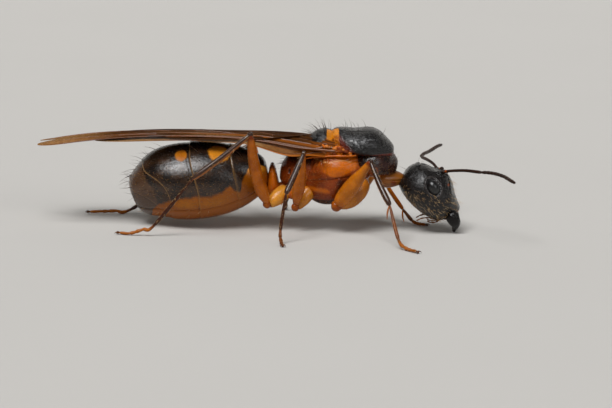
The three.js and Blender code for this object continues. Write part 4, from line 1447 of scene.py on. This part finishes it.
def wing_marks(kind, along, across):
    """An amber root and leading edge, dark bands and lines, painted shade in the pleats' troughs, pale lines
    and patches of painted glints and glitter, a pale band of painted glitter on the hindwing's near edge, and
    the crinkled part.
    """
    inner = ease(0.6, 0.45, along)
    near_edge = ease(0.1, 0.2, along) * ease(0.36, 0.24, across) * (kind == "hindwing")
    # A pale band along the hindwing's near edge is painted glitter, and it takes away the painted shade
    # there.
    golden = near_edge * (0.25 + 0.75 * hump(0.52, 0.13, along))
    glow = 0.85 * ease(0.14, 0.02, along) + 0.25 * ease(0.6, 0.9, along)
    glow = glow + (0.8 * ease(0.05, 0.0, across) + 0.55 * hump(0.24, 0.05, across)) * inner
    glow = glow + 0.5 * (near_edge - golden) * ease(0.8, 0.6, along)
    # The pleats' troughs are darkened as painted shade.
    painted_trough_shade = 0.5 - 0.5 * pleats(along, across)
    shade = 0.55 * painted_trough_shade * ease(1.0, 0.7, along) + 0.6 * hump(0.085, 0.02, across) * inner
    shade = np.minimum(shade + 0.35 * ease(0.45, 0.6, across), 1) * (1 - 0.8 * golden)
    # The pale line at 0.36 across is a painted glint of a vein, and the patch in the middle of the leading
    # half is painted glitter; the tip is paler.
    rim = 0.75 * hump(0.36, 0.025, across) * ease(0.03, 0.2, along) * ease(0.85, 0.6, along)
    rim = rim + 0.3 * hump(0.43, 0.09, along) * hump(0.12, 0.1, across)
    rim = rim + 0.55 * golden + 0.35 * ease(0.72, 0.95, along)
    crinkle = np.maximum(hump(0.43, 0.13, along) * ease(0.5, 0.2, across), golden)
    return {"glow": np.minimum(glow, 1), "shade": shade, "rim": np.minimum(rim, 1), "crinkle": crinkle}


def build_membrane(name, side, kind, wing, lift):
    """The wing's sheet, a closed thin body drawn in to a point at its root and its tip."""
    rows, columns = int(150 * FEWER), int(60 * FEWER)
    along = ((1 - np.cos(np.linspace(0, np.pi, rows))) / 2)[:, None]
    across = ((1 - np.cos(np.linspace(0, np.pi, columns))) / 2)[None, :]
    top = wing_point(wing, along, across, side, lift + THICK / 2)
    under = wing_point(wing, along, across[:, ::-1], side, lift - THICK / 2)[:, 1:-1]
    rings = np.concatenate([top, under], 1)
    rings[[0, -1]] = rings[[0, -1]].mean(1, keepdims=True)
    round_it = np.concatenate([across, across[:, ::-1][:, 1:-1]], 1) + 0 * along
    marks = wing_marks(kind, along + 0 * round_it, round_it)
    settle(skinned(f"{kind}_{name}", rings, marks, (-1, 0, 0)), "wing", "wing", f"{kind}_{name}")


def build_veins(name, side, kind, wing, veins, lift):
    """Raised veins, swept along wires laid on the wing, thinner towards their ends."""
    points, thickness, wires = [], [], []
    steps = np.linspace(0, 1, 40)
    for width, course in veins:
        along, across = np.clip(smooth(course, steps, extend=True), 0, 0.995).T
        first = len(points)
        points.extend(to_frame(wing_point(wing, along, across, side, lift + 0.006)).tolist())
        thickness.extend(width * (1.0 - 0.55 * steps) * MM)
        wires.extend((first + i, first + i + 1) for i in range(len(steps) - 1))
    mesh = bpy.data.meshes.new("wires")
    mesh.from_pydata(points, wires, [])
    layer = mesh.attributes.new("thickness", "FLOAT", "POINT")
    layer.data.foreach_set("value", np.array(thickness, np.float32))
    grown = VEINS.grow(f"{kind}_veins_{name}", mesh, Sides=8, Material=FINISHES["vein"])
    settle(grown, None, "wing", f"{kind}_{name}")


def build_stigma(name, side, lift):
    """The dark thickened spot on the forewing's leading edge."""
    path = wing_point(FOREWING, [0.57, 0.6, 0.64, 0.675], [0.035, 0.03, 0.03, 0.02], side, lift + 0.004)
    rings = tube(path, [0.03, 0.07, 0.08, 0.03], rows=24, around=20, flat=1.2)[0]
    middle = rings.mean(1, keepdims=True)[..., 2]
    rings[..., 2] = middle + (rings[..., 2] - middle) * 0.45
    settle(skinned("stigma_" + name, rings, {"shade": 0.6}), "vein", "wing", "forewing_" + name)


def build_wings(name, side):
    """Both wings of one side. The near side's wings lie over the far side's."""
    lift = -0.03 * side
    for kind, wing, veins in (("hindwing", HINDWING, HIND_VEINS), ("forewing", FOREWING, FORE_VEINS)):
        build_membrane(name, side, kind, wing, lift)
        build_veins(name, side, kind, wing, veins, lift)
    build_stigma(name, side, lift)


# ------------------------------------------------------------------ the ant

head_shell, clypeus = build_head()
plates = build_thorax()
gaster = build_gaster()
legs = {}
for place in ("front", "mid", "hind"):
    for name, side in SIDES:
        legs[f"{place}_{name}"] = build_leg(place, name, side)
for name, side in SIDES:
    build_wings(name, side)

# ------------------------------------------------------------------ hairs

# Standing bristles and lying down. Each line gives the piece's name, its host and finish,
# hairs to the square millimetre, their length, width and lean, and where they grow.
hairs("head_bristles", head_shell, "bristle", 7, 0.42, 0.022, 0.2,
      coat=lambda x, y, z: ease(2.9, 3.2, z) * ease(5.9, 5.2, x) + 0.25 * ease(2.6, 2.9, z))
hairs("cheek_bristles", head_shell, "gold_bristle", 56, 0.14, 0.011, 0.7, curl=0.0,
      uneven=0.09, joints=1,
      coat=lambda x, y, z: ease(2.1, 1.6, z + 0.25 * (x - 6)) * ease(0.3, 0.7, np.abs(y)))
hairs("chin_bristles", head_shell, "gold_bristle", 10, 0.3, 0.016, 0.4,
      coat=lambda x, y, z: ease(1.4, 1.0, z + 0.45 * (x - 6)))
hairs("face_bristles", clypeus, "gold_bristle", 12, 0.3, 0.014, 0.42, curl=0.15,
      coat=lambda x, y, z: ease(6.3, 6.6, x))
hairs("head_down", head_shell, "grey_down", 80, 0.075, 0.008, 0.86, joints=1)
hairs("clypeus_down", clypeus, "grey_down", 90, 0.075, 0.008, 0.86, joints=1)
hairs("scutum_bristles", plates["scutum"], "bristle", 2.6, 0.42, 0.022, 0.12,
      coat=lambda x, y, z: ease(4.3, 4.6, z) + 0.15)
hairs("scutum_down", plates["scutum"], "grey_down", 100, 0.075, 0.008, 0.85, joints=1)
hairs("scutellum_bristles", plates["scutellum"], "bristle", 12, 0.52, 0.023, 0.22,
      coat=lambda x, y, z: ease(4.1, 4.4, z))
hairs("pronotum_bristles", plates["pronotum"], "bristle", 5, 0.36, 0.02, 0.2,
      coat=lambda x, y, z: ease(3.3, 3.7, x) * ease(2.8, 3.1, z))
hairs("pronotum_down", plates["pronotum"], "down", 90, 0.07, 0.008, 0.8, joints=1)
for name in ("anepisternum", "katepisternum"):
    hairs(name + "_down", plates[name], "down", 60, 0.08, 0.008, 0.75, joints=1)
hairs("propodeum_bristles", plates["propodeum"], "bristle", 10, 0.3, 0.02, 0.3,
      coat=lambda x, y, z: ease(-0.3, -0.8, x) * ease(2.5, 3.0, z))
hairs("propodeum_down", plates["propodeum"], "down", 70, 0.08, 0.008, 0.8, joints=1)
hairs("petiole_bristles", plates["petiole"], "gold_bristle", 16, 0.2, 0.014, 0.4,
      coat=lambda x, y, z: ease(2.5, 2.9, z))
for index in range(5, 0, -1):
    upper, lower = gaster[f"tergite_{index}"], gaster[f"sternite_{index}"]
    hairs(f"tergite_down_{index}", upper, "grey_down", 90, 0.1, 0.009, 0.88, joints=1)
    hairs(f"tergite_gleam_{index}", upper, "down", 55, 0.05, 0.011, 0.7, joints=1,
          coat=lambda x, y, z: ease(1.3, 1.7, z) * ease(3.0, 2.6, z))
    hairs(f"tergite_bristles_{index}", upper, "bristle", 3.4 if index > 2 else 0.9, 0.6, 0.025, 0.4,
          coat=lambda x, y, z: ease(1.0, 1.8, z) * (0.25 + ease(-6.3, -7.2, x)))
    hairs(f"belly_bristles_{index}", lower, "gold_bristle", 2.2, 0.26, 0.016, 0.35,
          coat=lambda x, y, z: ease(1.4, 1.0, z))
for label, leg in legs.items():
    hairs("coxa_down_" + label, leg["coxa"], "down", 26, 0.12, 0.009, 0.5, joints=1)
    hairs("femur_down_" + label, leg["femur"], "down", 40, 0.09, 0.008, 0.8, joints=1)
    hairs("tibia_down_" + label, leg["tibia"], "grey_down", 30, 0.09, 0.008, 0.8, joints=1)
    hairs("tibia_bristles_" + label, leg["tibia"], "gold_bristle", 26, 0.15, 0.015, 0.55)
    hairs("tarsus_bristles_" + label, leg["tarsus"], "gold_bristle", 85, 0.11, 0.01, 0.62,
          coat=lambda x, y, z: ease(0.06, 0.14, z))

# ------------------------------------------------------------------ floor, light and camera


def plain_finish(name, colour):
    """A matt pale surface with the faintest unevenness."""
    bench = Bench(name)
    lesser = tuple(0.965 * c for c in colour)
    bench.set(base_color=bench.mix(bench.noise(0.05, 2.0), colour, lesser), roughness=0.9)
    bench.set(specular_ior_level=0.1)
    return bench.material


def build_stage():
    """A pale floor that runs on behind the ant and curves up into a wall."""
    wide, near, far, bend, high = 900, -500, 420, 160, 500
    steps = 12
    profile = [(near, 0.0), (far - bend, 0.0)]
    for step in range(1, steps + 1):
        turn = math.pi / 2 * step / steps
        profile.append((far - bend + bend * math.sin(turn), bend * (1 - math.cos(turn))))
    profile.append((far, high))
    points = [(x, y, z) for y, z in profile for x in (-wide, wide)]
    faces = [(2 * i, 2 * i + 1, 2 * i + 3, 2 * i + 2) for i in range(len(profile) - 1)]
    mesh = bpy.data.meshes.new("floor")
    mesh.from_pydata(to_frame(points).tolist(), [], faces)
    mesh.polygons.foreach_set("use_smooth", np.ones(len(faces), bool))
    mesh.materials.append(plain_finish("pale_floor", (0.52, 0.505, 0.48)))
    object_from("floor", mesh)


# Each lamp: the way it comes from and its height in degrees, its strength, how many degrees wide
# it looks, and its colour.
WHITE = (1.0, 1.0, 1.0)
LAMPS = {
    "window": (-22, 58, 2.75, 38, (0.985, 0.99, 1.0)),
    "spark": (-34, 52, 0.6, 14, WHITE),
    "side": (50, 24, 0.55, 30, WHITE),
    "behind": (170, 40, 0.1, 30, WHITE),
}
SKY_COLOUR, SKY_STRENGTH = (1.0, 0.99, 0.97), 0.11


def sun(name, azimuth, height, strength, spread, colour):
    data = bpy.data.lights.new(name, "SUN")
    data.energy = strength
    data.angle = math.radians(spread)
    data.color = colour
    lamp = bpy.data.objects.new(name, data)
    bpy.context.scene.collection.objects.link(lamp)
    lamp.rotation_euler = (math.radians(90 - height), 0.0, math.radians(azimuth))


def build_light():
    world = bpy.data.worlds.new("studio")
    bpy.context.scene.world = world
    world.use_nodes = True
    sky = world.node_tree.nodes["Background"]
    sky.inputs["Color"].default_value = (*SKY_COLOUR, 1.0)
    sky.inputs["Strength"].default_value = SKY_STRENGTH
    for name, lamp in LAMPS.items():
        sun(name, *lamp)


CAMERA_AIM = np.array([0.0, 0.0, 1.125])
CAMERA_AWAY = 155.0
CAMERA_WIDTH = 28.15  # how many millimetres it sees across at the aim
CAMERA_HEIGHT, CAMERA_TIP = 10.0, 1.5  # degrees
SENSOR = 36.0


def build_camera():
    """It looks at the ant's right side, from a little above, and is tipped slightly."""
    data = bpy.data.cameras.new("camera")
    data.sensor_width = SENSOR
    data.lens = SENSOR * CAMERA_AWAY / CAMERA_WIDTH
    data.clip_start = 10 * MM
    data.clip_end = 5.0
    camera = bpy.data.objects.new("camera", data)
    bpy.context.scene.collection.objects.link(camera)
    high = math.radians(CAMERA_HEIGHT)
    back = np.array([0.0, -math.cos(high), math.sin(high)])
    camera.location = to_frame(CAMERA_AIM + back * CAMERA_AWAY)
    level = Euler((math.pi / 2 - high, 0.0, 0.0)).to_matrix()
    tip = Euler((0.0, 0.0, math.radians(CAMERA_TIP))).to_matrix()
    camera.rotation_euler = (level @ tip).to_euler()
    bpy.context.scene.camera = camera


build_stage()
build_light()
build_camera()
bpy.context.scene.view_settings.view_transform = "Standard"
